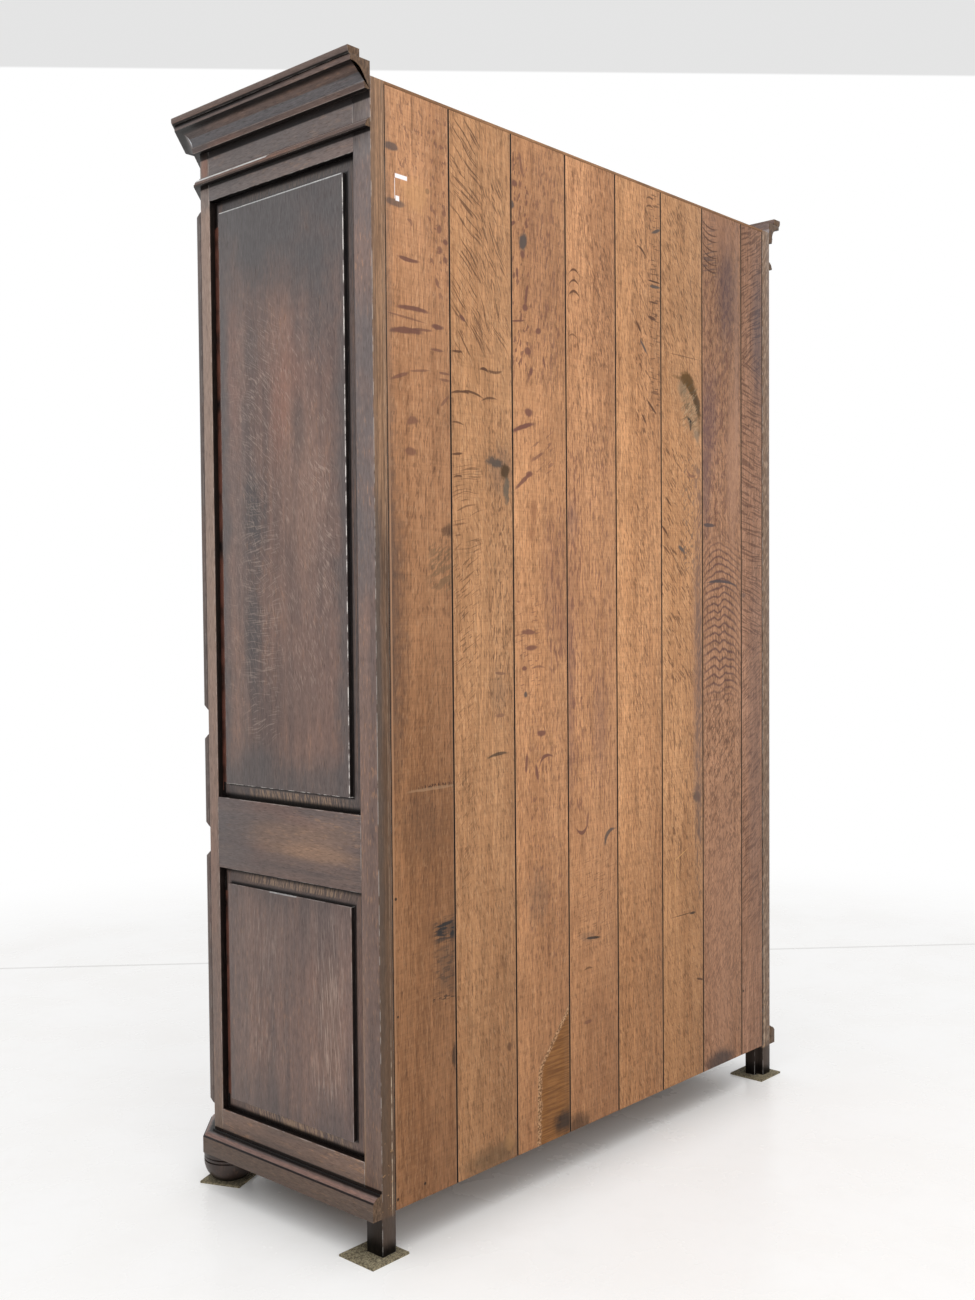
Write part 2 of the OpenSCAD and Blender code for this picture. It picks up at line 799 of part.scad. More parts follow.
// Key: shank, bit, collar and an open bow
module key() {
    tip_y = bolt_y + bolt_t;
    translate([key_x, 0, key_z]) {
        translate([0, front_y - key_front, 0])
            rotate([-90, 0, 0])
                cylinder(r = key_r, h = tip_y - front_y + key_front, $fn = fine);
        translate([-bit_t / 2, tip_y - bit_w, -bit_reach]) cube([bit_t, bit_w, bit_reach]);
        translate([0, front_y - plate_t - 2 * play, 0])
            rotate([90, 0, 0]) cylinder(r = key_r * 1.6, h = bow_t, $fn = fine);
        translate([-bow_t / 2, front_y - key_front - bow_r + bow_wire, 0])
            rotate([0, 90, 0])
                linear_extrude(bow_t)
                    difference() {
                        circle(r = bow_r, $fn = fine);
                        circle(r = bow_r - bow_wire, $fn = fine);
                    }
    }
}

module front_post_right() { color(stain_colour) front_post(); }
module front_post_left() { color(stain_colour) left_of() front_post(); }
module rear_post_right() { color(stain_colour) rear_post(); }
module rear_post_left() { color(stain_colour) left_of() rear_post(); }
module side_rails_right() { color(stain_colour) side_rails(); }
module side_rails_left() { color(stain_colour) left_of() side_rails(); }
module side_upper_panel_right() { color(stain_colour) side_panel(side_mid_top, side_top_z); }
module side_upper_panel_left() { color(stain_colour) left_of() side_panel(side_mid_top, side_top_z); }
module side_lower_panel_right() { color(stain_colour) side_panel(side_low_z, side_middle_rail_z); }
module side_lower_panel_left() {
    color(stain_colour) left_of() side_panel(side_low_z, side_middle_rail_z);
}

module front_top_rail() {
    color(stain_colour)
        translate([-doorway_x, front_y, doorway_top])
            cube([2 * doorway_x, frame_t, carcass_h - doorway_top]);
}

module front_bottom_rail() {
    color(stain_colour)
        translate([-doorway_x, front_y, base_z]) cube([2 * doorway_x, frame_t, plinth_h]);
}

module centre_stile() {
    color(stain_colour)
        translate([-centre_stile_w / 2, front_y, doorway_z])
            cube([centre_stile_w, frame_t, doorway_top - doorway_z]);
}

// Strip behind the top rail that the doors close against
module door_stop() {
    color(back_colour)
        translate([-doorway_x, front_y + frame_t, doorway_top - board_t])
            cube([2 * doorway_x, board_t, 3 * board_t]);
}

module rear_bottom_rail() {
    color(back_colour)
        translate([rear_post_w - half_w, back_y - back_t - board_t, base_z])
            cube([2 * (half_w - rear_post_w), board_t, plinth_h]);
}

module back_board_1() { back_board(1); }
module back_board_2() { back_board(2); }
module back_board_3() { back_board(3); }
module back_board_4() { back_board(4); }
module back_board_5() { back_board(5); }
module back_board_6() { back_board(6); }
module back_board_7() { back_board(7); }
module back_board_8() { back_board(8); }

module cornice_moulding() { color(stain_colour) moulding_run(cornice_section()); }
module cornice_cap() { color(stain_colour) moulding_run(cap_section()); }
module frieze_moulding() { color(stain_colour) moulding_run(frieze_section()); }
module plinth_moulding() { color(stain_colour) moulding_run(plinth_section()); }

module corner_blocks_right() { corner_blocks(); }
module corner_blocks_left() { left_of() corner_blocks(); }
module front_foot_right() { color(stain_colour) front_foot(); }
module front_foot_left() { color(stain_colour) left_of() front_foot(); }
module foot_blocks() { color(back_colour) both_sides() foot_block(); }
module bearers() { color(back_colour) both_sides() bearer(); }
module hinge_pins() { color(iron_colour) both_sides() for (s = hinge_shares) hinge_pin_half(s); }
module lock_keepers() { color(iron_colour) both_sides() lock_keeper(); }

module door_stiles_right() { color(stain_colour) door_stiles(); }
module door_rails_right() { color(stain_colour) door_rails(); }
module door_upper_panel_right() {
    color(stain_colour) door_panel(door_up_panel_z, door_up_panel_top);
}
module door_middle_panel_right() { color(stain_colour) door_panel(door_mid_panel_z, door_mid_top); }
module door_lower_panel_right() { color(stain_colour) door_panel(door_panel_z, door_mid_low); }
module door_hinges_right() { color(iron_colour) for (s = hinge_shares) hinge_bore_half(s); }
module lock_case_right() { color(iron_colour) lock_case(); }
module escutcheon_right() { color(brass_colour) escutcheon(); }
module lock_bolt_right() { color(iron_colour) lock_bolt(); }
module key_right() { color(iron_colour) key(); }

module door_stiles_left() { left_of() door_stiles_right(); }
module door_rails_left() { left_of() door_rails_right(); }
module door_upper_panel_left() { left_of() door_upper_panel_right(); }
module door_middle_panel_left() { left_of() door_middle_panel_right(); }
module door_lower_panel_left() { left_of() door_lower_panel_right(); }
module door_hinges_left() { left_of() door_hinges_right(); }
module lock_case_left() { left_of() lock_case_right(); }
module escutcheon_left() { left_of() escutcheon_right(); }
module lock_bolt_left() { left_of() lock_bolt_right(); }
module key_left() { left_of() key_right(); }

front_post_right();
front_post_left();
rear_post_right();
rear_post_left();
side_rails_right();
side_rails_left();
side_upper_panel_right();
side_upper_panel_left();
side_lower_panel_right();
side_lower_panel_left();
front_top_rail();
front_bottom_rail();
centre_stile();
door_stop();
rear_bottom_rail();
top_board();
bottom_board();
back_board_1();
back_board_2();
back_board_3();
back_board_4();
back_board_5();
back_board_6();
back_board_7();
back_board_8();
cornice_moulding();
cornice_cap();
frieze_moulding();
plinth_moulding();
corner_blocks_right();
corner_blocks_left();
front_foot_right();
front_foot_left();
foot_blocks();
floor_pads();
shelf();
bearers();
hanging_rail();
hinge_pins();
lock_keepers();
door_stiles_right();
door_rails_right();
door_upper_panel_right();
door_middle_panel_right();
door_lower_panel_right();
door_hinges_right();
lock_case_right();
escutcheon_right();
lock_bolt_right();
key_right();
door_stiles_left();
door_rails_left();
door_upper_panel_left();
door_middle_panel_left();
door_lower_panel_left();
door_hinges_left();
lock_case_left();
escutcheon_left();
lock_bolt_left();
key_left();
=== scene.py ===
import bpy
import bmesh
import json
import numpy as np
from math import sin, cos, radians
from mathutils import Matrix, Vector
from mathutils.bvhtree import BVHTree


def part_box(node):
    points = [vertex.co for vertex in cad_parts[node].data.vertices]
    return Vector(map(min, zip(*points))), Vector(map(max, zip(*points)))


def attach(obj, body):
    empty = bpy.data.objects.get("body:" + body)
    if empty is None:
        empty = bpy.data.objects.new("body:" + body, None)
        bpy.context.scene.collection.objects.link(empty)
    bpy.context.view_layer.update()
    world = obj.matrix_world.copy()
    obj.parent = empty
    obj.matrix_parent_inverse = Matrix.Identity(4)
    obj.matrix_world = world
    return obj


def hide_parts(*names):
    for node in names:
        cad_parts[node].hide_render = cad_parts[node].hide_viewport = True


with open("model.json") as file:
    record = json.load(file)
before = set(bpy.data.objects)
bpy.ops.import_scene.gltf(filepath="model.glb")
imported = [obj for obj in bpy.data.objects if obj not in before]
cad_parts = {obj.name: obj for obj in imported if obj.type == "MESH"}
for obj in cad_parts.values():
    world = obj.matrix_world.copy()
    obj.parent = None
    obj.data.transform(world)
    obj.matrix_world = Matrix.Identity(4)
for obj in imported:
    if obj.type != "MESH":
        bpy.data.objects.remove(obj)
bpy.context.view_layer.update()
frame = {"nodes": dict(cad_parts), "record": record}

nodes = frame["nodes"]
bodyOfNode = {name: body for body, names in frame["record"]["behaviour"]["bodies"].items()
              for name in names}
slotOfNode = {part["node"]: part["material_slot"] for part in frame["record"]["subparts"]}

# measures of the carcass, in metres, read off the frame
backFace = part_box("back_board_1")[1].y
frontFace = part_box("front_top_rail")[0].y
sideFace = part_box("front_post_right")[1].x
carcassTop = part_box("front_post_right")[1].z


# Camera: stands where the photograph was taken, behind the right side
cameraSettings = {
    "place": (2.3355, 2.0747, 1.1485),
    "azimuth": 131.875,
    "down": 2.055,
    "roll": -0.451,
    "lens": 38.0,
    "shift": (-0.0070, 0.0150),
}


def makeCamera(s):
    a, e, r = radians(s["azimuth"]), radians(s["down"]), radians(s["roll"])
    back = Vector((sin(a) * cos(e), -cos(a) * cos(e), sin(e)))
    right = (-back).cross(Vector((0, 0, 1))).normalized()
    up = right.cross(-back)
    turned = (cos(r) * right + sin(r) * up, -sin(r) * right + cos(r) * up, back)
    data = bpy.data.cameras.new("photoCamera")
    data.sensor_width = 36
    data.lens = s["lens"]
    data.shift_x, data.shift_y = s["shift"]
    data.clip_start, data.clip_end = 0.05, 100
    camera = bpy.data.objects.new("photoCamera", data)
    camera.matrix_world = Matrix.Translation(s["place"]) @ Matrix(turned).transposed().to_4x4()
    bpy.context.scene.collection.objects.link(camera)
    bpy.context.scene.camera = camera


makeCamera(cameraSettings)
print("camera set")


# Node trees of a material or of the world, built by short calls
class Shader:
    def __init__(self, name, world=False):
        self.owner = (bpy.data.worlds if world else bpy.data.materials).new(name)
        self.owner.use_nodes = True
        self.tree = self.owner.node_tree
        self.tree.nodes.clear()
        self.surface = self.add("ShaderNodeBackground" if world else "ShaderNodeBsdfPrincipled")
        self.out = self.add("ShaderNodeOutputWorld" if world else "ShaderNodeOutputMaterial")
        self.tree.links.new(self.surface.outputs[0], self.out.inputs["Surface"])
        self.place = self.add("ShaderNodeTexCoord").outputs["Generated" if world else "Object"]
        self.x, self.y, self.z = self.add("ShaderNodeSeparateXYZ", {0: self.place}).outputs

    # puts a value into a socket, or links the socket that gives it
    def feed(self, value, socket):
        if isinstance(value, bpy.types.NodeSocket):
            self.tree.links.new(value, socket)
        else:
            socket.default_value = value

    def add(self, kind, inputs=None, **props):
        node = self.tree.nodes.new(kind)
        for key, value in props.items():
            setattr(node, key, value)
        for key, value in (inputs or {}).items():
            self.feed(value, node.inputs[key])
        return node

    def math(self, operation, a, b=0.0, c=0.0):
        return self.add("ShaderNodeMath", {0: a, 1: b, 2: c}, operation=operation).outputs[0]

    def times(self, a, b):
        return self.math("MULTIPLY", a, b)

    def plus(self, a, b):
        return self.math("ADD", a, b)

    def less(self, a, b):
        return self.math("SUBTRACT", a, b)

    def most(self, a, b):
        return self.math("MAXIMUM", a, b)

    # a times b, and c added
    def scaled(self, a, b, c):
        return self.math("MULTIPLY_ADD", a, b, c)

    def size(self, a):
        return self.math("ABSOLUTE", a)

    def join(self, x, y, z):
        return self.add("ShaderNodeCombineXYZ", {0: x, 1: y, 2: z}).outputs[0]

    def noise(self, at, scale=1.0, detail=3.0, rough=0.5, twist=0.0):
        inputs = {"Vector": at, "Scale": scale, "Detail": detail, "Roughness": rough, "Distortion": twist}
        return self.add("ShaderNodeTexNoise", inputs).outputs["Fac"]

    # noise that changes along one line only
    def lineNoise(self, v, scale):
        return self.noise(self.join(0.0, 0.0, self.times(v, scale)), detail=3)

    def fit(self, value, low, high, toLow=0.0, toHigh=1.0, smooth=True):
        return self.add("ShaderNodeMapRange", {0: value, 1: low, 2: high, 3: toLow, 4: toHigh},
                        interpolation_type="SMOOTHSTEP" if smooth else "LINEAR").outputs[0]

    # as fit, without easing
    def ramp(self, value, low, high, toLow, toHigh):
        return self.fit(value, low, high, toLow, toHigh, smooth=False)

    def blend(self, amount, a, b, kind="MIX"):
        a, b = ((*c, 1) if isinstance(c, tuple) else c for c in (a, b))
        mix = self.add("ShaderNodeMix", {0: amount, 6: a, 7: b}, data_type="RGBA", blend_type=kind)
        return mix.outputs[2]

    # lays a shade over a colour where the mask is 1
    def tint(self, colour, shade, mask, amount=1.0):
        return self.blend(self.times(mask, amount), colour, shade)

    def shaded(self, colour, factor):
        return self.blend(1.0, colour, factor, "MULTIPLY")

    def normal(self):
        geometry = self.add("ShaderNodeNewGeometry")
        return self.add("ShaderNodeSeparateXYZ", {0: geometry.outputs["Normal"]}).outputs

    def attribute(self, name):
        return self.add("ShaderNodeAttribute", attribute_name=name).outputs["Fac"]

    # both axes of a turned frame, measured from its centre
    def turned(self, u, v, degrees, centre=(0.0, 0.0)):
        c, n = cos(radians(degrees)), sin(radians(degrees))
        across = self.scaled(u, c, self.scaled(v, n, -centre[0] * c - centre[1] * n))
        along = self.scaled(v, c, self.scaled(u, -n, centre[0] * n - centre[1] * c))
        return across, along

    # spindle-shaped dashes, sparse where "over" is high; the angle is measured from upright
    def streaks(self, u, v, d, seed):
        across, along = self.turned(u, v, d["angle"])
        if "bend" in d:
            sway = self.noise(self.join(self.times(u, 9), seed, self.times(v, 9)), detail=1)
            across = self.scaled(sway, d["bend"], across)
        at = self.join(self.times(across, 1 / d["width"]), seed + d.get("seed", 0.0),
                       self.times(along, 1 / d["length"]))
        spread = self.noise(at, detail=d.get("detail", 1.2), twist=0.15)
        mask = self.fit(spread, d["over"], d["over"] + d.get("soft", 0.05))
        return self.times(mask, self.area(u, v, *d["area"])) if d.get("area") else mask

    # 1 from low to high, with a soft change of the given half width at both ends
    def band(self, v, low, high, soft):
        return self.fit(v, low - soft, low + soft), self.fit(v, high + soft, high - soft)

    # soft window: lowest and highest u, lowest and highest v, softness
    def area(self, u, v, u0, u1, v0, v1, soft=0.03):
        wide = self.math("MINIMUM", *self.band(u, u0, u1, soft))
        tall = self.math("MINIMUM", *self.band(v, v0, v1, soft))
        return self.times(wide, tall)

    # a soft patch with a ragged rim, 1 in the middle and 0 outside
    def spot(self, u, v, centre, size, wobble, edge=0.35, angle=0.0, bow=0.0):
        across, along = self.turned(u, v, angle, centre)
        du = self.math("DIVIDE", across, size[0])
        if bow:
            along = self.scaled(self.times(du, du), bow, along)
        dv = self.math("DIVIDE", along, size[1])
        r = self.math("SQRT", self.plus(self.times(du, du), self.times(dv, dv)))
        return self.fit(self.plus(r, wobble), 1 + edge, 1 - edge)

    # the marks of a list, made by blot and short below
    def marked(self, colour, u, v, marks, wobble):
        for centre, size, shade, amount, ragged, edge, angle, bow in marks:
            mask = self.spot(u, v, centre, size, self.times(wobble, ragged), edge, angle, bow)
            colour = self.tint(colour, backOak.get(shade) or shade, mask, amount)
        return colour

    def finish(self, colour, roughness, height=None, strength=0.2, depth=0.0006):
        self.feed(colour, self.surface.inputs["Base Color"])
        self.feed(roughness, self.surface.inputs["Roughness"])
        if height is not None:
            bump = self.add("ShaderNodeBump", {"Strength": strength, "Distance": depth, "Height": height})
            self.feed(bump.outputs[0], self.surface.inputs["Normal"])
        return self.owner


# A field of dashes for streaks; soft, bend, detail and seed where they are needed
def field(angle, width, length, over, amount, area=None, colour="line", **more):
    return {"angle": angle, "width": width, "length": length, "over": over, "amount": amount,
            "area": area, "colour": colour, **more}


# One mark: its place and half sizes, colour and strength, how ragged and how soft its rim is
def blot(x, z, wide, tall, colour, amount, ragged=1.0, edge=0.35, angle=0, bow=0):
    return (x, z), (wide, tall), colour, amount, ragged, edge, angle, bow


# Short dashes of one colour, by place and length, then thickness, angle, bow and strength
shortUsual = (0.004, 0, 0, 0.75)
shortLook = {"gain": 1.2, "ragged": 0.7, "edge": 0.3}


def short(colour, *rows):
    look = shortLook
    marks = []
    for x, z, length, *rest in rows:
        thick, angle, bow, amount = (*rest, *shortUsual[len(rest):])
        amount = min(1, amount * look["gain"])
        marks.append(blot(x, z, length / 2, thick, colour, amount,
                          look["ragged"], look["edge"], angle, bow))
    return marks


# The place turned so that the third part runs along the grain
def grainPlace(s, grain, seed):
    if grain == "run":
        # round the corners: along Y at the sides, along X in front
        onSide = s.math("GREATER_THAN", s.size(s.x), sideFace - 0.032)
        b, along = (s.add("ShaderNodeMix", {0: onSide, 2: front, 3: side}).outputs[0]
                    for front, side in ((s.y, s.x), (s.x, s.y)))
        a = s.z
    else:
        a, b, along = {"z": (s.x, s.y, s.z), "y": (s.z, s.x, s.y), "x": (s.z, s.y, s.x)}[grain]
    return s.plus(a, seed * 1.37), s.plus(b, seed * 0.71), s.plus(along, seed * 2.9)


def stretched(s, parts, across, along, bend=None, bendBy=0.0):
    a, b, l = parts
    u = s.times(a, across)
    if bend is not None:
        u = s.scaled(bend, bendBy, u)
    return s.join(u, s.times(b, across), s.times(l, along))


# one noise for each row of a table: scale across and along the grain, detail and roughness
def grainNoises(s, parts, table):
    return [s.noise(stretched(s, parts, across, along), detail=detail, rough=rough)
            for across, along, detail, rough in table.values()]


darkOak = {
    "grey": (0.142, 0.122, 0.119),
    "body": (0.178, 0.124, 0.108),
    "warm": (0.285, 0.180, 0.143),
    "red": (0.330, 0.165, 0.118),
    "deep": (0.050, 0.033, 0.028),
    "black": (0.0030, 0.0020, 0.002),
    "fleck": (0.56, 0.42, 0.34),
    "worn": (0.50, 0.27, 0.155),
    "rubbed": (0.78, 0.74, 0.70),
    "bare": (0.50, 0.33, 0.215),
    "raw": (0.25, 0.14, 0.08),
    "rawDeep": (0.16, 0.090, 0.055),
    "ember": (0.24, 0.092, 0.062),
    "smoky": (0.118, 0.106, 0.104),
    "polish": (0.90, 0.93, 0.96),
    "roughness": (0.30, 0.48),
    "specular": 0.16,
}
darkGrain = {
    "cloud": (12, 3.2, 4, 0.6),
    "patches": (5, 1.6, 3, 0.55),
    "board": (40, 1.1, 3, 0.6),
    "middle": (230, 42, 3, 0.65),
    "fine": (480, 64, 3, 0.65),
    "pores": (800, 60, 2, 0.5),
    "specks": (240, 48, 2, 0.5),
}
# Settings of darkOakMaterial for each kind of stained piece
darkLooks = {
    "run": {"tone": 0.74, "grey": 0.85, "rub": 0.45, "worn": 0.3, "under": (-0.82, -0.97)},
    "cornice_cap": {"rub": 0.08},
    "lowerPanel": {"rub": 0.15, "worn": 0.25},
    "upperPanel": {"rub": 0.85, "worn": 0.25},
    "frame": {"tone": 0.92, "grey": 0.5, "rub": 0.22},
    "block": {"tone": 0.45, "grey": 0.2, "rub": 0.1, "worn": 0.1, "specular": 0.55},
    "foot": {"tone": 0.17, "grey": 0.2, "rub": 0.1, "worn": 0.1, "specular": 0.55},
    "plain": {"tone": 0.85, "grey": 0.5},
}


def darkOakMaterial(name, grain="z", seed=0.0, tone=1.0, grey=0.35, rub=0.5, worn=0.4, specular=None,
                    under=(-0.35, -0.85), extra=None):
    d = darkOak
    s = Shader(name)
    s.surface.inputs["Specular IOR Level"].default_value = specular or d["specular"]
    parts = grainPlace(s, grain, seed)
    cloud, patches, board, middle, fine, pores, specks = grainNoises(s, parts, darkGrain)
    mixed = s.scaled(board, 0.45, s.times(cloud, 0.55))
    colour = s.blend(s.fit(mixed, 0.38, 0.62), d["body"], d["warm"])
    reddish = s.noise(stretched(s, parts, 9, 2.3, cloud, 0.6), detail=2)
    colour = s.tint(colour, d["red"], s.fit(reddish, 0.54, 0.70), 0.5)
    colour = s.tint(colour, d["grey"], s.fit(patches, 0.45, 0.68), grey)
    colour = s.shaded(colour, (tone, tone, tone))
    colour = s.tint(colour, d["worn"], s.times(s.fit(specks, 0.57, 0.66), s.fit(cloud, 0.40, 0.60)), worn)
    if extra:
        colour = extra(s, colour, parts, board)
    colour = s.shaded(colour, d["polish"])
    colour = s.shaded(colour, s.ramp(middle, 0.28, 0.72, 1.14, 0.85))
    colour = s.shaded(colour, s.ramp(fine, 0.25, 0.75, 1.20, 0.79))
    colour = s.tint(colour, d["deep"], s.fit(pores, 0.56, 0.70), 0.5)
    # undersides are painted near-black as shade
    colour = s.tint(colour, d["black"], s.fit(s.normal()[2], *under), 0.95)
    # arrises are rubbed pale in broken lines: partly worn edges, partly a painted highlight
    broken = s.fit(s.noise(s.place, 42, 3, 0.6), 0.42, 0.60)
    colour = s.tint(colour, d["rubbed"], s.times(s.attribute("rub"), broken), rub)
    rough = s.ramp(cloud, 0.3, 0.7, *d["roughness"])
    height = s.plus(s.times(pores, -0.6), s.times(fine, -0.5))
    return s.finish(colour, rough, height, 0.2, 0.0004)


# Bands of a moulding run: lowest and highest place above its foot, shade and strength; near-black bands are
# painted shadow, thin pale ones painted highlights
runBands = {
    "cornice_moulding": [
        # the thin pale bands at the foot and at the fillet's top are painted highlights
        (-0.001, 0.0012, (0.34, 0.28, 0.25), 0.5), (0.0095, 0.0115, (0.36, 0.30, 0.27), 0.45),
        (0.012, 0.0275, (0.165, 0.158, 0.164), 0.75), (0.0395, 0.051, (0.17, 0.120, 0.105), 0.6)],
    "cornice_cap": [
        # the near-black band at the cap's foot is painted shadow under its nose
        (-0.001, 0.0034, (0.008, 0.006, 0.005), 0.97),
        (0.005, 0.015, (0.150, 0.105, 0.088), 0.7),
    ],
    "frieze_moulding": [
        # the dark band at the foot is painted shadow under the nose, the pale band a painted highlight on
        # it
        (-0.001, 0.0035, (0.02, 0.015, 0.013), 0.7), (0.0115, 0.0150, (0.62, 0.58, 0.53), 0.30)],
    "plinth_moulding": [
        # the near-black lines at the ledge and in the neck are painted shade
        (-0.001, 0.0315, (0.115, 0.078, 0.056), 0.72), (0.0320, 0.0350, (0.006, 0.004, 0.004), 0.95),
        (0.0355, 0.0405, (0.27, 0.150, 0.120), 0.6), (0.0420, 0.0470, (0.003, 0.002, 0.002), 0.97)],
}
runLooks = {
    "bandSoft": 0.0006,
    "creased": (0.70, 0.30),
    "slant": (0.35, 0.6),
    "coveFoot": (0.010, 0.014),
    "coveHead": (0.037, 0.030),
    "covePale": (0.84, 0.85, 0.87),
    "gleam": (frontFace - 0.02, 0.02, 0.0092, 0.0158, 0.0006),
    "gleamPale": (0.86, 0.84, 0.80),
    "sawnPale": (0.17, 0.10, 0.058),
    "sawnDeep": (0.07, 0.040, 0.024),
}


# Moulding runs: painted black shade in their creases, tinted by bands of height with some painted shadow
# and highlight, raw on the sawn ends at the back
def runLook(name):
    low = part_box(name)[0]
    r = runLooks

    def paint(s, colour, parts, board):
        v = s.less(s.z, low.z)
        for v0, v1, shade, amount in runBands[name]:
            colour = s.tint(colour, shade, s.times(*s.band(v, v0, v1, r["bandSoft"])), amount)
        # painted shade: black where the openness attribute says the place is shut in
        colour = s.tint(colour, darkOak["black"], s.fit(s.attribute("openness"), *r["creased"]), 0.96)
        if name == "cornice_moulding":
            # the cut corners' coves get a painted pale reflection
            nx, ny = s.normal()[:2]
            slant = s.times(s.size(s.times(nx, ny)), 2)
            cove = s.times(s.fit(v, *r["coveFoot"]), s.fit(v, *r["coveHead"]))
            colour = s.tint(colour, r["covePale"], s.times(s.fit(slant, *r["slant"]), cove), 0.92)
        if name == "frieze_moulding":
            # its front half catches the light along the nose
            broken = s.fit(s.noise(s.join(0.0, s.times(s.y, 16), 0.0), detail=3), 0.28, 0.48)
            colour = s.tint(colour, r["gleamPale"], s.area(s.y, v, *r["gleam"]), broken)
        rings = s.noise(s.join(s.times(s.x, 260), s.times(s.z, 90), 0.0), detail=4, rough=0.6)
        sawn = s.blend(s.fit(rings, 0.35, 0.65), r["sawnPale"], r["sawnDeep"])
        return s.blend(s.math("GREATER_THAN", s.y, backFace - 0.0004), colour, sawn)

    return paint


# Raised panels: depths and widths as built, the boards glued up for the field, flecks and smudges
panelSizes = {"tongue": 0.008, "border": 0.029, "sink": 0.016, "step": 0.010, "back": 0.019}
panelBoards = ((0.205, (0.90, 0.88, 0.88)), (0.51, (1.10, 1.08, 1.06)), (0.74, (0.95, 0.95, 0.96)))
smudgeEdge = 0.75
fleckSeed = 1.3
emberBreaks = (0.36, 0.56)
sidePanels = {
    "upper": {"grey": 0.97, "headComb": 0.25, "crest": 0.85, "flecks": [
        field(58, 0.0024, 0.024, 0.585, 0.30, (-0.075, 0.030, 1.36, 1.76, 0.035), soft=0.06, bend=0.06),
        field(25, 0.0024, 0.020, 0.60, 0.24, (-0.13, 0.19, 1.00, 1.72, 0.04),
              soft=0.06, bend=0.06, seed=12.0),
        field(97, 0.0024, 0.030, 0.58, 0.30, (-0.075, 0.026, 0.92, 1.38, 0.035),
              soft=0.06, bend=0.07, seed=3.0),
        field(40, 0.0026, 0.020, 0.575, 0.34, (0.125, 0.195, 1.18, 1.45, 0.03),
              soft=0.06, bend=0.08, seed=5.0),
        field(75, 0.0024, 0.022, 0.61, 0.20, (-0.14, -0.09, 0.95, 1.68, 0.03),
              soft=0.06, bend=0.05, seed=8.0),
    ], "smudges": [
        (-0.040, 1.355, 0.030, 0.075, (0.088, 0.084, 0.086), 0.8),
        (-0.050, 1.14, 0.024, 0.12, (0.100, 0.090, 0.090), 0.6),
        (0.092, 1.515, 0.016, 0.055, (0.092, 0.080, 0.078), 0.7),
        (0.060, 1.62, 0.060, 0.12, (0.29, 0.165, 0.130), 0.30),
        (0.120, 1.37, 0.060, 0.15, (0.32, 0.205, 0.16), 0.40),
        (-0.100, 1.62, 0.022, 0.16, (0.29, 0.155, 0.118), 0.45),
        (-0.110, 1.25, 0.026, 0.20, (0.27, 0.170, 0.138), 0.35),
        (0.100, 1.08, 0.070, 0.13, (0.25, 0.165, 0.138), 0.40),
    ]},
    "lower": {"grey": 0.30, "headComb": 1.0, "crest": 0.5, "flecks": [
        field(3, 0.0028, 0.060, 0.55, 0.40, (0.11, 0.20, 0.25, 0.60, 0.03), soft=0.07),
        field(-4, 0.0026, 0.050, 0.57, 0.28, (-0.10, 0.03, 0.28, 0.60, 0.04), soft=0.07, seed=2.0),
    ], "smudges": [
        (0.160, 0.40, 0.030, 0.13, (0.34, 0.205, 0.150), 0.45),
        (-0.020, 0.52, 0.055, 0.09, (0.28, 0.180, 0.145), 0.35),
        (0.02, 0.635, 0.20, 0.030, (0.105, 0.078, 0.070), 0.5),
    ]},
}


# Depth behind the side's or the front's face, and the place across it
def faceParts(s, onSide):
    depth = s.less(sideFace, s.size(s.x)) if onSide else s.less(s.y, frontFace)
    return depth, s.y if onSide else s.size(s.x)


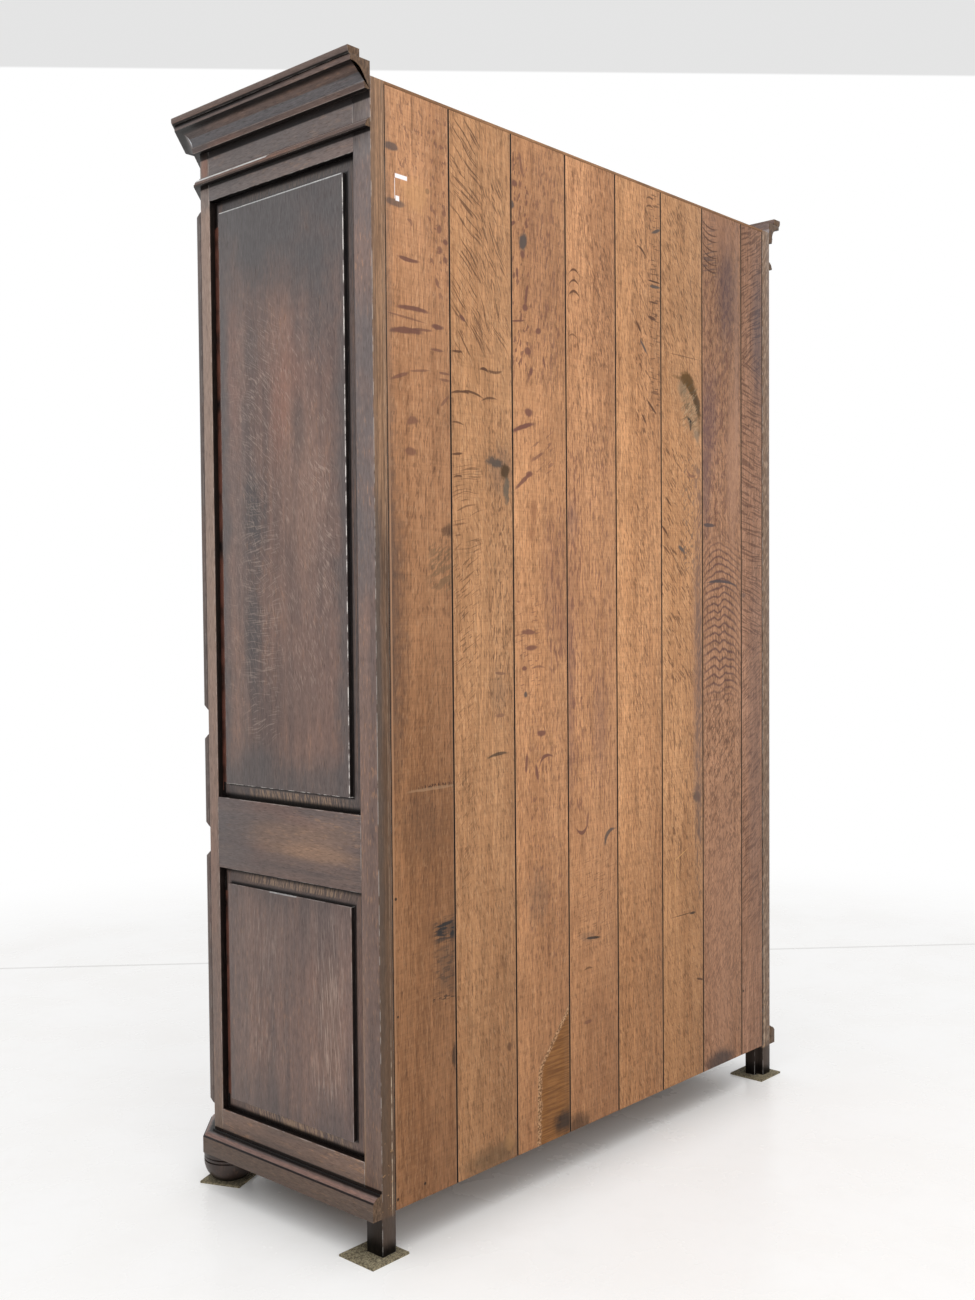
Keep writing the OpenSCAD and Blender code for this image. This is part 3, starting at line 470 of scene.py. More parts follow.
def panelLook(name):
    low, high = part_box(name)
    onSide = name.startswith("side")
    isUpper = "upper" in name
    p = panelSizes
    margin = p["tongue"] + p["border"]
    across = (low.y, high.y) if onSide else sorted((abs(low.x), abs(high.x)))
    u0, u1 = across[0] + margin, across[1] - margin
    v0, v1 = low.z + margin, high.z - margin
    look = sidePanels["upper" if isUpper else "lower"]
    shift = 0.0 if onSide else 0.5 * (u0 + u1) - 0.032

    def paint(s, colour, parts, board):
        d = darkOak
        v = s.z
        depth, u = faceParts(s, onSide)
        near = s.less(u, shift)
        past = [s.less(u, u0), s.less(u1, u), s.less(v, v0)]
        cloud = s.less(s.noise(s.place, 8, 4, 0.6), 0.5)
        ragged = s.scaled(s.noise(s.place, 26, 4, 0.65), 1.6, -0.8)
        # the boards glued up for the field differ a little, and the second is the curly one
        for share, shade in panelBoards:
            edge = u0 + (u1 - u0) * share
            colour = s.blend(s.fit(s.less(u, edge), -0.0008, 0.0008), colour, s.shaded(colour, shade))
        if "middle" not in name:
            smudges = [blot(*row, edge=smudgeEdge) for row in look["smudges"]]
            colour = s.marked(colour, near, v, smudges, ragged)
            for number, flecks in enumerate(look["flecks"]):
                mask = s.streaks(near, v, flecks, fleckSeed + number)
                colour = s.tint(colour, d["fleck"], mask, flecks["amount"])
        # cooler and darker at the head, a painted grey sheen, and along the rims, a grey stain
        head = s.fit(s.scaled(cloud, 0.50, v), v1 - 0.36, v1 - 0.02)
        rims = [s.fit(s.scaled(cloud, sway, inward), start, end) for inward, sway, start, end in
                zip(past, (0.09, 0.09, 0.16), (0.040, 0.045, 0.12), (-0.004, 0.0, 0.0))]
        rim = s.most(s.most(rims[0], rims[1]), rims[2])
        cool = s.most(s.times(head, look["grey"]), s.times(rim, 0.55 * look["grey"] + 0.2))
        colour = s.blend(cool, colour, d["smoky"])
        # border: comb of bare lighter grain at head and foot, and painted black shade against the frame
        comb = s.fit(s.noise(s.join(s.times(u, 290), 0.0, s.times(v, 30)), detail=2, rough=0.6), 0.42, 0.60)
        ends = s.plus(s.fit(s.less(v0, v), 0.004, 0.008),
                      s.times(s.fit(s.less(v, v1), 0.006, 0.010), look["headComb"]))
        ends = s.times(ends, s.area(near, v, -0.09, 0.20, -9.0, 9.0, 0.05))
        colour = s.tint(colour, d["bare"], s.times(ends, comb), 0.70)
        beside = s.times(s.fit(s.most(s.less(u0, u), s.less(u, u1)), 0.002, 0.006),
                         s.fit(s.noise(s.join(s.times(u, 420), 0.0, s.times(v, 7)), detail=2), 0.46, 0.64))
        colour = s.tint(colour, (0.36, 0.20, 0.13), beside, 0.38)
        # a painted highlight along the field's top arris
        crestEnds = (u0 + 0.003, u1 - 0.003) if isUpper else (u0 + 0.13, u0 + 0.21)
        crest = s.times(s.area(u, v, *crestEnds, v1 - 0.0024, v1 + 0.0004, 0.0006),
                        s.fit(depth, 0.003, 0.002))
        colour = s.tint(colour, (0.60, 0.59, 0.57), crest, look["crest"])
        # painted shade: the field's step and the border's foot against the frame are black
        step = s.times(s.fit(depth, 0.0012, 0.0020), s.fit(depth, p["step"] + 0.0012, p["step"] + 0.0002))
        colour = s.tint(colour, d["black"], step, 0.97)
        gutter = s.times(s.fit(depth, p["sink"] - 0.0026, p["sink"] - 0.0008),
                         s.fit(depth, p["back"], p["back"] - 0.001))
        colour = s.tint(colour, d["black"], gutter, 0.96)
        # the border nearest the front keeps a reddish strip
        ember = s.times(s.area(u, v, u0 - 0.0310, u0 - 0.006, v0 - 0.01, v1, 0.0015),
                        s.fit(s.lineNoise(v, 11), *emberBreaks))
        ember = s.times(ember, s.area(depth, v, p["step"] - 0.001, p["sink"] + 0.0005,
                                      v0, v1 - 0.02, 0.0008))
        colour = s.tint(colour, d["ember"], ember, 0.8)
        # the inside was never polished
        raw = s.blend(s.fit(board, 0.4, 0.6), d["raw"], d["rawDeep"])
        return s.blend(s.fit(depth, p["back"], p["back"] + 0.001), colour, raw)

    return paint


# The edges that look into the openings, and the strips under the mouldings, are painted black as shade
shadowStrips = [
    (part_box("cornice_moulding")[0].z, -0.013, 0.0),
    (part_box("frieze_moulding")[0].z, -0.0055, 0.0),
    (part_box("plinth_moulding")[1].z, 0.0, 0.0035),
]
frameLooks = {
    "lighter": (0.39, 0.275, 0.215),
    "orange": (0.50, 0.17, 0.070),
    "orangeAt": ((frontFace + 0.078, 2.047), (0.012, 0.026)),
    "railGlow": (0.46, 0.255, 0.155),
    "middleShade": (0.84, 0.90, 0.94),
    "railGlows": (((0.125, 0.716), (0.090, 0.016), 0.55), ((0.030, 0.735), (0.11, 0.030), 0.30),
                  ((0.16, 0.758), (0.07, 0.022), 0.22)),
    "middleRail": (-0.30, 0.30, 0.665, 0.80, 0.004),
    "middleDim": (-0.20, -0.06, 0.66, 0.80, 0.05),
    "repair": (0.256, 0.284, 2.046, 2.077, 0.0015),
    "repairShade": (0.26, 0.18, 0.13),
    "besidePanel": (0.42, 0.25, 0.155),
    "leg": (0.078, 0.070),
    "legShade": (0.035, 0.024, 0.020),
    "aloft": (carcassTop - 0.150, carcassTop - 0.125),
    "aloftShade": (0.205, 0.188, 0.182),
    "lowShade": (0.80, 0.80, 0.72),
}


def frameLook(name):
    onSide = not name.startswith("door")
    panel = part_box("side_upper_panel_right" if onSide else "door_upper_panel_right")
    p, f = panelSizes, frameLooks
    u0, u1 = ((panel[0].y, panel[1].y) if onSide else (panel[0].x, panel[1].x))
    u0, u1 = u0 + p["tongue"], u1 - p["tongue"]

    def paint(s, colour, parts, board):
        d = darkOak
        depth, u = faceParts(s, onSide)
        if name.startswith("front_post"):
            # lighter and warmer higher up, with an orange patch beside the frieze
            colour = s.blend(s.fit(s.z, 0.5, 1.3, 0.30, 0.72), colour, f["lighter"])
            patch = s.spot(s.y, s.z, *f["orangeAt"], s.scaled(board, 0.8, -0.4))
            colour = s.tint(colour, f["orange"], patch, 0.7)
        if name.startswith("side_rails"):
            ragged = s.scaled(board, 1.4, -0.7)
            for at, size, amount in f["railGlows"]:
                colour = s.tint(colour, f["railGlow"], s.spot(s.y, s.z, at, size, ragged, 0.6), amount)
            middle = s.area(s.y, s.z, *f["middleRail"])
            colour = s.blend(middle, colour, s.shaded(colour, f["middleShade"]))
            colour = s.tint(colour, d["grey"], s.area(s.y, s.z, *f["middleDim"]), 0.6)
        if name.startswith("rear_post"):
            smoke = s.times(s.fit(s.noise(s.place, 7, 3, 0.55), 0.42, 0.60), s.fit(s.z, 0.95, 1.35))
            colour = s.tint(colour, d["grey"], smoke, 0.55)
            colour = s.shaded(colour, s.fit(s.z, 0.6, 1.35, 0.88, 1.22))
            colour = s.tint(colour, f["repairShade"], s.area(s.y, s.z, *f["repair"]), 0.55)
            edge = s.times(s.fit(s.y, 0.257, 0.252), s.fit(s.scaled(board, 0.5, s.z), 0.95, 0.65))
            colour = s.tint(colour, f["besidePanel"], edge, 0.55)
            leg = s.blend(s.fit(s.z, 0.02, 0.045), d["black"], f["legShade"])
            colour = s.blend(s.fit(s.z, *f["leg"]), colour, leg)
        if onSide:
            colour = s.tint(colour, f["aloftShade"], s.fit(s.z, *f["aloft"]), 0.50)
            colour = s.tint(colour, s.shaded(colour, f["lowShade"]), s.fit(s.z, 0.32, 0.10), 0.75)
        # painted shadow under the cornice and the frieze moulding and above the plinth moulding
        for at, below, above in shadowStrips:
            strip = s.times(s.fit(s.z, at + below - 0.002, at + below + 0.001),
                            s.fit(s.z, at + above + 0.002, at + above))
            colour = s.tint(colour, d["black"], strip, 0.93)
        # painted shade on the edges that look into the openings
        inside = s.times(s.fit(u, u0 - 0.0008, u0 - 0.0002), s.fit(u, u1 + 0.0008, u1 + 0.0002))
        deepIn = s.times(s.fit(depth, 0.0012, 0.0024), s.fit(depth, 0.0200, 0.0185))
        colour = s.tint(colour, d["black"], s.times(inside, deepIn), 0.97)
        if name.startswith("front_post"):
            # the same reddish strip as on the border of the panel it holds
            ember = s.area(depth, s.z, p["sink"] - 0.0025, p["back"],
                           panel[0].z + 0.02, panel[1].z - 0.06, 0.0008)
            ember = s.times(ember, s.fit(s.lineNoise(s.z, 11), *emberBreaks))
            colour = s.tint(colour, d["ember"], s.times(ember, inside), 0.8)
        return rawBack(s, colour, parts, name.endswith("left")) if name.startswith("rear_post") else colour

    return paint


backOak = {
    "pale": (0.425, 0.226, 0.112),
    "body": (0.330, 0.168, 0.080),
    "dark": (0.175, 0.080, 0.040),
    "pore": (0.085, 0.036, 0.020),
    "line": (0.062, 0.026, 0.015),
    "plum": (0.130, 0.058, 0.042),
    "slate": (0.082, 0.062, 0.053),
    "ochre": (0.48, 0.27, 0.115),
    "stain": (0.014, 0.013, 0.013),
    "paper": (0.80, 0.80, 0.80),
    "glint": (0.56, 0.34, 0.19),
    "dust": (0.006, 0.003, 0.002),
    "arris": (0.50, 0.29, 0.17),
}
backGrain = {
    "broad": (9, 1.3, 3, 0.55),
    "streak": (70, 3.0, 4, 0.65),
    "fibre": (300, 14, 3, 0.7),
    "middle": (150, 11, 3, 0.65),
    "pores": (420, 46, 2, 0.5),
}
rawLook = {
    "deep": (0.098, 0.054, 0.032),
    "pale": (0.185, 0.104, 0.062),
    "smoke": (0.10, 0.078, 0.066),
    "low": (0.104, 0.053, 0.025),
    "aloft": ((0.190, 0.102, 0.056), (0.350, 0.195, 0.108)),
    "hairs": field(12, 0.003, 0.020, 0.52, 0.75, soft=0.08),
    "hairShades": ((0.200, 0.122, 0.078), (0.42, 0.290, 0.200)),
    "scratchAt": 0.024,
    "scratch": (0.58, 0.44, 0.31),
    "leg": (0.075, 0.050, 0.037),
}


# The posts' rear faces were never stained, apart from a smoky outer edge
def rawBack(s, colour, parts, paler):
    r = rawLook
    fibre = s.noise(stretched(s, parts, 330, 9), detail=3, rough=0.6)
    fibres = s.fit(fibre, 0.35, 0.65)
    raw = s.blend(fibres, r["deep"], r["pale"])
    smoke = s.scaled(s.noise(s.place, 14, 3, 0.6), 0.016, s.size(s.x))
    raw = s.tint(raw, r["smoke"], s.fit(smoke, sideFace - 0.014, sideFace + 0.004), 0.8)
    raw = s.tint(raw, r["low"], s.fit(s.z, 1.3, 0.1), 0.6)
    if paler:
        hairs = s.streaks(s.x, s.z, r["hairs"], 4.0)
        raw = s.blend(r["hairs"]["amount"], raw, s.blend(hairs, *r["hairShades"]))
    else:
        # brighter in its upper part, most of all beside the boards
        aloft = s.times(s.fit(s.scaled(fibre, 0.10, s.z), 1.28, 1.52),
                        s.fit(smoke, sideFace + 0.006, sideFace - 0.010, 0.62, 1.0))
        raw = s.blend(aloft, raw, s.blend(fibres, *r["aloft"]))
    sway = s.scaled(s.noise(s.place, 4, 2), 0.004, s.less(s.size(s.x), sideFace - r["scratchAt"]))
    broken = s.times(s.fit(s.lineNoise(s.z, 34), 0.40, 0.56), s.fit(s.z, 0.42, 0.30, 0.15, 0.95))
    raw = s.tint(raw, r["scratch"], s.fit(s.size(sway), 0.0015, 0.0005), broken)
    chips = s.times(s.fit(s.noise(s.place, 90, 3, 0.6), 0.63, 0.70), s.fit(s.z, 0.30, 0.10))
    raw = s.tint(raw, backOak["ochre"], chips, 0.7)
    leg = s.blend(s.fit(s.z, 0.012, 0.035), darkOak["black"], r["leg"])
    raw = s.blend(s.fit(s.z, *frameLooks["leg"]), raw, leg)
    return s.blend(s.math("GREATER_THAN", s.y, backFace - 0.0009), colour, raw)


sapwoodLook = {
    "rimLow": (0.080, 0.235, 0.240, 0.235),
    "rimHigh": (0.235, 0.350, 0.0, -0.100),
    "top": (0.352, 0.348),
    "wood": ((0.150, 0.064, 0.019), (0.275, 0.130, 0.042)),
    "bark": ((0.16, 0.085, 0.040), (0.52, 0.33, 0.19)),
    "knot": ((0.150, 0.108), (0.030, 0.022)),
}


# A rough orange patch with a pale ragged rim, ridged across
def sapwood(s, colour, ragged):
    w = sapwoodLook
    rim = s.plus(s.ramp(s.z, *w["rimLow"]), s.ramp(s.z, *w["rimHigh"]))
    inward = s.scaled(s.noise(s.place, 70, 3, 0.65), 0.012, s.less(s.less(rim, 0.006), s.x))
    ridges = s.noise(s.join(s.times(s.x, 14), 0.0, s.times(s.z, 260)), detail=3, rough=0.65)
    patch = s.blend(s.fit(ridges, 0.36, 0.64), *w["wood"])
    bark = s.blend(s.fit(s.noise(s.place, 210, 3, 0.6), 0.42, 0.58), *w["bark"])
    patch = s.tint(patch, bark, s.fit(inward, 0.017, 0.010), 0.85)
    colour = s.tint(colour, patch, s.fit(inward, 0.0, 0.002), s.fit(s.z, *w["top"]))
    return s.tint(colour, backOak["stain"], s.spot(s.x, s.z, *w["knot"], ragged, 0.6), 0.85)


# Growth figure: level lines of a long, slow noise, or cathedral arches one above the other
def growthFigure(s, colour, parts, streak, board):
    f = {"across": 5.5, "along": 0.9, "lines": 16, "thin": 0.10, "colour": backOak["dark"]}
    f.update(board.get("arcs", {}))
    hill = s.noise(stretched(s, parts, f["across"], f["along"]), detail=1.5, rough=0.4, twist=0.3)
    if "peak" in f:
        middle, rise, spread = f["peak"]
        du = s.scaled(s.x, 1.0, -middle)
        hill = s.scaled(hill, f["sway"], s.scaled(s.times(du, du), spread, s.times(s.z, rise)))
    level = s.math("PINGPONG", s.scaled(streak, 0.55, s.times(hill, f["lines"])), 0.5)
    mask = s.fit(level, f["thin"], f["thin"] + 0.25, 1, 0)
    if "area" in f:
        mask = s.times(mask, s.area(s.x, s.z, *f["area"]))
    return s.tint(colour, f["colour"], mask, board["figure"])


# Fine ticks of the back boards, and paler ones between them
tickUsual = {"angle": 2, "width": 0.0034, "length": 0.016, "over": 0.575, "amount": 0.38}
glintLook = {"width": 0.0030, "over": 0.60}


# Unfinished boards: board holds its tone, its growth figure, its dashes and its single marks
def backOakMaterial(name, board, grain, joined):
    c = backOak
    s = Shader(name)
    s.surface.inputs["Specular IOR Level"].default_value = 0.2
    seed = board["seed"]
    parts = grainPlace(s, grain, seed)
    broad, streak, fibre, middle, pores = grainNoises(s, parts, backGrain)
    saw = s.noise(s.join(s.times(s.x, 12), s.y, s.times(s.z, 300)), detail=2, rough=0.6)
    colour = s.blend(s.fit(broad, 0.34, 0.66), c["body"], c["pale"])
    colour = s.tint(colour, c["dark"], s.fit(streak, 0.50, 0.74), 0.42)
    shade = s.plus(s.ramp(fibre, 0.25, 0.75, 0.72, 1.28), s.ramp(saw, 0.25, 0.75, -0.10, 0.10))
    colour = s.shaded(colour, s.plus(shade, s.ramp(middle, 0.28, 0.72, -0.22, 0.22)))
    if joined:
        tick = {**tickUsual, **board.get("ticks", {})}
        colour = s.tint(colour, c["line"], s.streaks(s.x, s.z, tick, seed * 5.1), tick["amount"])
        colour = s.tint(colour, c["glint"], s.streaks(s.x, s.z, {**tick, **glintLook}, seed * 7.7), 0.35)
    if "figure" in board:
        colour = growthFigure(s, colour, parts, streak, board)
    for number, dash in enumerate(board.get("dashes", ())):
        mask = s.streaks(s.x, s.z, dash, seed * 3.7 + number * 1.9)
        colour = s.tint(colour, c[dash["colour"]], mask, dash["amount"])
    colour = s.tint(colour, c["pore"], s.fit(pores, 0.56, 0.70), 0.42)
    ragged = s.scaled(s.noise(s.place, 60, 4, 0.65), 1.3, -0.65)
    colour = s.marked(colour, s.x, s.z, board.get("marks", ()), ragged)
    for dash in board.get("stains", ()):
        colour = s.tint(colour, dash["colour"], s.streaks(s.x, s.z, dash, seed * 2.3), dash["amount"])
    for scrap in board.get("scraps", ()):
        colour = s.blend(s.area(s.x, s.z, *scrap, 0.0008), colour, c["paper"])
    if "sapwood" in board:
        colour = sapwood(s, colour, ragged)
    # the boards darken towards the floor, and some at the head
    if "head" in board:
        colour = s.shaded(colour, s.fit(s.z, 1.45, 1.90, 1.0, 1.0 - board["head"]))
    if board["foot"]:
        low = s.fit(s.z, board.get("footTop", 1.05), 0.15)
        colour = s.tint(colour, s.shaded(colour, (0.62, 0.58, 0.52)), low, board["foot"])
    colour = s.shaded(colour, board["tone"])
    if joined:
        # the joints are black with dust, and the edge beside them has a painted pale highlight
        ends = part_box(joined)
        low, high = ends[0].x + (0.0030 if joined.endswith("8") else 0.006), ends[1].x
        near = s.math("MINIMUM", s.less(s.x, low), s.less(high, s.x))
        colour = s.tint(colour, c["arris"], s.fit(near, 0.0040, 0.0024), 0.25)
        colour = s.blend(s.fit(near, 0.0022, 0.0012), colour, c["dust"])
    height = s.plus(s.times(pores, -0.8), s.times(fibre, 0.7))
    return s.finish(colour, s.ramp(streak, 0.3, 0.7, 0.55, 0.72), height, 0.35, 0.0006)


backBoard1 = {
    "seed": 1.0, "foot": 1.28, "footTop": 2.05, "tone": (1.02, 0.97, 0.98),
    "ticks": {"angle": 6, "over": 0.61, "amount": 0.35},
    "dashes": [
        field(-18, 0.0065, 0.013, 0.61, 0.6, (0.475, 0.535, 1.74, 2.08, 0.015), "plum"),
        field(-30, 0.0055, 0.012, 0.625, 0.55, (0.535, 0.62, 1.93, 2.08, 0.02), "plum"),
        field(6, 0.0045, 0.02, 0.61, 0.42, (0.475, 0.6, 1.15, 1.6, 0.03)),
        field(15, 0.003, 0.016, 0.61, 0.28, (0.475, 0.63, 0.6, 1.2, 0.05)),
        field(0, 0.0035, 0.009, 0.48, 0.9, (0.472, 0.57, 0.8385, 0.8465, 0.0015)),
    ],
    "marks": [
        *short("plum",
               (0.581, 1.798, 0.056, 0.0038, 1, -0.002), (0.57, 1.713, 0.078, 0.0044, -1, 0.002),
               (0.588, 1.694, 0.1, 0.0018, 3, 0, 0.5), (0.59, 1.671, 0.08, 0.0056, -5, 0.002),
               (0.545, 1.678, 0.05, 0.0026, -4, 0, 0.6), (0.507, 1.689, 0.03, 0.005),
               (0.509, 1.6465, 0.032, 0.0026, 0, 0, 0.6), (0.605, 1.588, 0.046, 0.0036, -20, 0, 0.6),
               (0.555, 1.603, 0.05, 0.0022, -8, 0, 0.5), (0.489, 1.606, 0.026, 0.0026, 0, 0, 0.6),
               (0.489, 1.594, 0.028, 0.003, 0, 0, 0.5), (0.49, 1.555, 0.03, 0.0034, -45, 0, 0.5),
               (0.5745, 1.512, 0.03, 0.0075, -15, 0.004, 0.55), (0.579, 1.455, 0.028, 0.0075, 0, 0, 0.55),
               (0.484, 1.848, 0.014, 0.006, 0, 0, 0.7), (0.485, 1.815, 0.012, 0.006, 30, 0, 0.6),
               (0.5, 1.868, 0.012, 0.008, 20, 0, 0.6), (0.498, 1.832, 0.014, 0.005, 40, 0, 0.6),
               (0.507, 1.77, 0.008, 0.01, -25, 0, 0.6), (0.487, 1.9, 0.01, 0.006, 0, 0, 0.5),
               (0.574, 1.868, 0.016, 0.0035, 40, 0.004, 0.5)),
        *short("slate", (0.622, 1.99, 0.036, 0.007, -4, 0, 0.7), (0.612, 1.893, 0.05, 0.0065, 0, 0, 0.6)),
        blot(0.645, 1.6, 0.022, 0.55, "slate", 0.45, 0.9, 0.5),
        blot(0.652, 1.15, 0.05, 0.28, "slate", 0.6, edge=0.6),
        blot(0.56, 0.78, 0.05, 0.06, "slate", 0.25, 0.9, 0.8),
        blot(0.482, 1.317, 0.016, 0.012, (0.06, 0.03, 0.018), 0.65, 1.5),
        blot(0.478, 0.326, 0.007, 0.022, "stain", 0.7, 1.6),
        blot(0.53, 0.8385, 0.06, 0.003, (0.5, 0.33, 0.2), 0.6, 1.1, angle=-1),
        blot(0.56, 1.916, 0.036, 0.026, "ochre", 0.4, 1.5), blot(0.5305, 1.931, 0.005, 0.005, "stain", 0.4),
        # a painted highlight along the board's edge beside the joint
        blot(0.6318, 0.8, 0.0015, 0.74, (0.52, 0.31, 0.18), 0.75, 0.35, 0.4),
        blot(0.487, 0.572, 0.03, 0.017, (0.03, 0.035, 0.04), 0.6, 1.3, 0.6),
        blot(0.494, 0.5, 0.028, 0.048, (0.06, 0.055, 0.052), 0.4, 1.3, 0.7),
        blot(0.6285, 0.647, 0.003, 0.003, "stain", 0.9, 0.3),
        blot(0.626, 0.432, 0.0025, 0.0025, "stain", 0.8, 0.3),
        blot(0.631, 0.098, 0.003, 0.003, "stain", 0.9, 0.3),
        blot(0.561, 0.106, 0.003, 0.003, "stain", 0.9, 0.3),
    ],
    "stains": [
        field(88, 0.0055, 0.03, 0.4, 0.9, (0.466, 0.53, 0.548, 0.592, 0.012),
              (0.022, 0.029, 0.036), soft=0.12, detail=2.5),
        field(88, 0.006, 0.024, 0.46, 0.45, (0.466, 0.532, 0.452, 0.54, 0.014),
              (0.045, 0.042, 0.04), soft=0.14, detail=2.5),
        field(88, 0.0035, 0.01, 0.5, 0.8, (0.474, 0.535, 0.438, 0.447, 0.003),
              (0.03, 0.024, 0.022), soft=0.08),
        field(55, 0.005, 0.022, 0.44, 0.55, (0.47, 0.535, 1.205, 1.29, 0.015),
              (0.135, 0.095, 0.052), soft=0.12, detail=2.5),
    ],
    "scraps": [(0.582, 0.612, 1.9375, 1.945), (0.602, 0.611, 1.897, 1.906), (0.6125, 0.6135, 1.9, 1.936)],
}
backBoard2 = {
    "seed": 2.3, "foot": 0.5, "head": 0.04, "tone": (1.07, 1.05, 1.02),
    "ticks": {"angle": -12, "over": 0.6, "amount": 0.4},
    "dashes": [
        field(-50, 0.0034, 0.06, 0.585, 0.7, (0.385, 0.47, 1.64, 2.09, 0.02), bend=0.05),
        field(-32, 0.0034, 0.034, 0.585, 0.62, (0.31, 0.4, 1.66, 2.0, 0.02), bend=0.05),
        field(80, 0.003, 0.06, 0.575, 0.55, (0.395, 0.47, 1.28, 1.45, 0.02), bend=0.05),
        field(60, 0.0034, 0.026, 0.59, 0.55, (0.4, 0.47, 1.05, 1.3, 0.02), bend=0.02),
        field(8, 0.0038, 0.018, 0.575, 0.58, (0.305, 0.375, 0.95, 1.56, 0.02)),
        field(52, 0.0036, 0.026, 0.6, 0.35, (0.41, 0.475, 0.6, 1.05, 0.02)),
        field(5, 0.003, 0.018, 0.61, 0.28, (0.305, 0.475, 0.1, 0.95, 0.04)),
    ],
    "marks": [
        *short("line",
               (0.455, 1.652, 0.03, 0.0026, -3, 0, 0.7), (0.412, 1.58, 0.06, 0.0024, 8, 0.004, 0.7),
               (0.45, 1.578, 0.05, 0.0024, -6, 0.003, 0.7), (0.368, 1.575, 0.04, 0.0022, -10, 0.003, 0.6),
               (0.38, 1.629, 0.024, 0.0032, 6, 0.003), (0.35, 1.626, 0.04, 0.0026, -4, -0.003, 0.6)),
        *short("plum", (0.44, 1.716, 0.018, 0.004, 30, 0, 0.8)),
        *short("line",
               (0.455, 1.52, 0.03, 0.002, 4, 0.002, 0.6), (0.458, 1.461, 0.028, 0.0026, -8, 0, 0.7),
               (0.455, 1.42, 0.024, 0.0022, -4, 0.002, 0.6)),
        blot(0.333, 1.44, 0.034, 0.04, "slate", 0.38, 1.4, 0.7),
        blot(0.349, 1.4525, 0.024, 0.009, (0.055, 0.047, 0.042), 0.85, 1.5, angle=8),
        blot(0.3225, 1.437, 0.013, 0.015, (0.06, 0.032, 0.013), 0.95, 1.2),
        blot(0.318, 1.403, 0.008, 0.026, (0.1, 0.083, 0.062), 0.8, 1.5),
        blot(0.35, 0.888, 0.03, 0.003, "stain", 0.75, 0.7, angle=-6, bow=0.003),
        blot(0.345, 1.01, 0.022, 0.04, "slate", 0.25, 1.2, 0.7),
        *short("plum", (0.34, 1.045, 0.03, 0.003, 4, 0, 0.5), (0.342, 0.963, 0.024, 0.004, 0, 0, 0.5)),
        blot(0.37, 0.098, 0.075, 0.024, (0.055, 0.048, 0.03), 0.55, 0.9, 0.7),
        blot(0.32, 0.118, 0.014, 0.02, (0.42, 0.23, 0.1), 0.55, 1.6),
        blot(0.322, 0.305, 0.006, 0.009, "line", 0.6, 1.5),
    ],
}
backBoard3 = {
    "seed": 3.1, "figure": 0.14, "tone": (1.24, 1.18, 1.15), "foot": 0.55, "head": 0.16,
    "arcs": {"lines": 13},
    "dashes": [
        field(2, 0.0042, 0.018, 0.56, 0.55, (0.14, 0.24, 1.62, 2.1, 0.03), "plum"),
        field(12, 0.008, 0.018, 0.6, 0.75, (0.24, 0.305, 1.62, 2.06, 0.015), "plum"),
        field(0, 0.0065, 0.028, 0.55, 0.6, (0.14, 0.2, 1.02, 1.38, 0.02), "plum"),
        field(55, 0.006, 0.024, 0.6, 0.6, (0.17, 0.24, 1.44, 1.53, 0.02), "plum"),
        field(78, 0.0045, 0.024, 0.62, 0.6, (0.215, 0.3, 1.0, 1.2, 0.02), "plum"),
        field(4, 0.0045, 0.02, 0.59, 0.55, (0.14, 0.27, 0.45, 0.98, 0.03), "plum"),
    ],
    "marks": [
        blot(0.215, 1.88, 0.06, 0.18, "plum", 0.16, edge=0.8),
        blot(0.175, 1.24, 0.035, 0.1, "plum", 0.3, 1.3, 0.7),
        blot(0.23, 0.59, 0.03, 0.05, "slate", 0.32, 1.2, 0.8),
        blot(0.15, 1.13, 0.022, 0.05, "plum", 0.35, 1.3, 0.7),
        blot(0.235, 1.365, 0.008, 0.024, (0.2, 0.09, 0.045), 0.6, 1.2, 0.6),
        blot(0.243, 1.318, 0.008, 0.012, (0.2, 0.09, 0.045), 0.6, 1.2, 0.6),
        *short("plum", (0.2685, 2.042, 0.008, 0.024, -14, 0, 0.6),
               (0.288, 2.001, 0.014, 0.006, 20, 0, 0.7)),
        *short("slate", (0.299, 1.958, 0.018, 0.009, -30, 0, 0.85)),
        *short("plum", (0.232, 2.1, 0.024, 0.003, 10, 0, 0.5), (0.295, 1.922, 0.022, 0.004, -30, 0, 0.8)),
        *short("slate", (0.264, 1.893, 0.022, 0.017, 12, 0, 0.9)),
        *short("plum",
               (0.266, 1.868, 0.014, 0.007), (0.282, 1.83, 0.008, 0.009), (0.255, 1.79, 0.008, 0.02, 12),
               (0.259, 1.765, 0.018, 0.007), (0.28, 1.736, 0.042, 0.002, -10),
               (0.219, 1.725, 0.016, 0.006, -20), (0.252, 1.681, 0.02, 0.008),
               (0.201, 1.664, 0.006, 0.012, -15), (0.242, 1.642, 0.01, 0.008, 15),
               (0.25, 1.56, 0.022, 0.008, 10), (0.269, 1.53, 0.07, 0.0045, -18, 0.002, 0.85),
               (0.268, 1.424, 0.06, 0.0045, -36), (0.25, 1.438, 0.022, 0.006, -10),
               (0.223, 1.475, 0.04, 0.0035, -28, 0, 0.6), (0.255, 1.124, 0.044, 0.005, 2, 0, 0.7),
               (0.246, 1.093, 0.036, 0.005, -4, 0, 0.7), (0.268, 1.052, 0.014, 0.005),
               (0.225, 1.055, 0.04, 0.0022, 0, 0.003, 0.5)),
        *short("slate", (0.265, 1.0, 0.01, 0.006, 0, 0, 0.8)),
        *short("plum",
               (0.217, 0.92, 0.028, 0.006), (0.208, 0.872, 0.044, 0.0035, -24, 0.01, 0.8),
               (0.232, 0.842, 0.008, 0.016, -10), (0.264, 0.862, 0.008, 0.02, 6)),
    ],
    "sapwood": True,
}
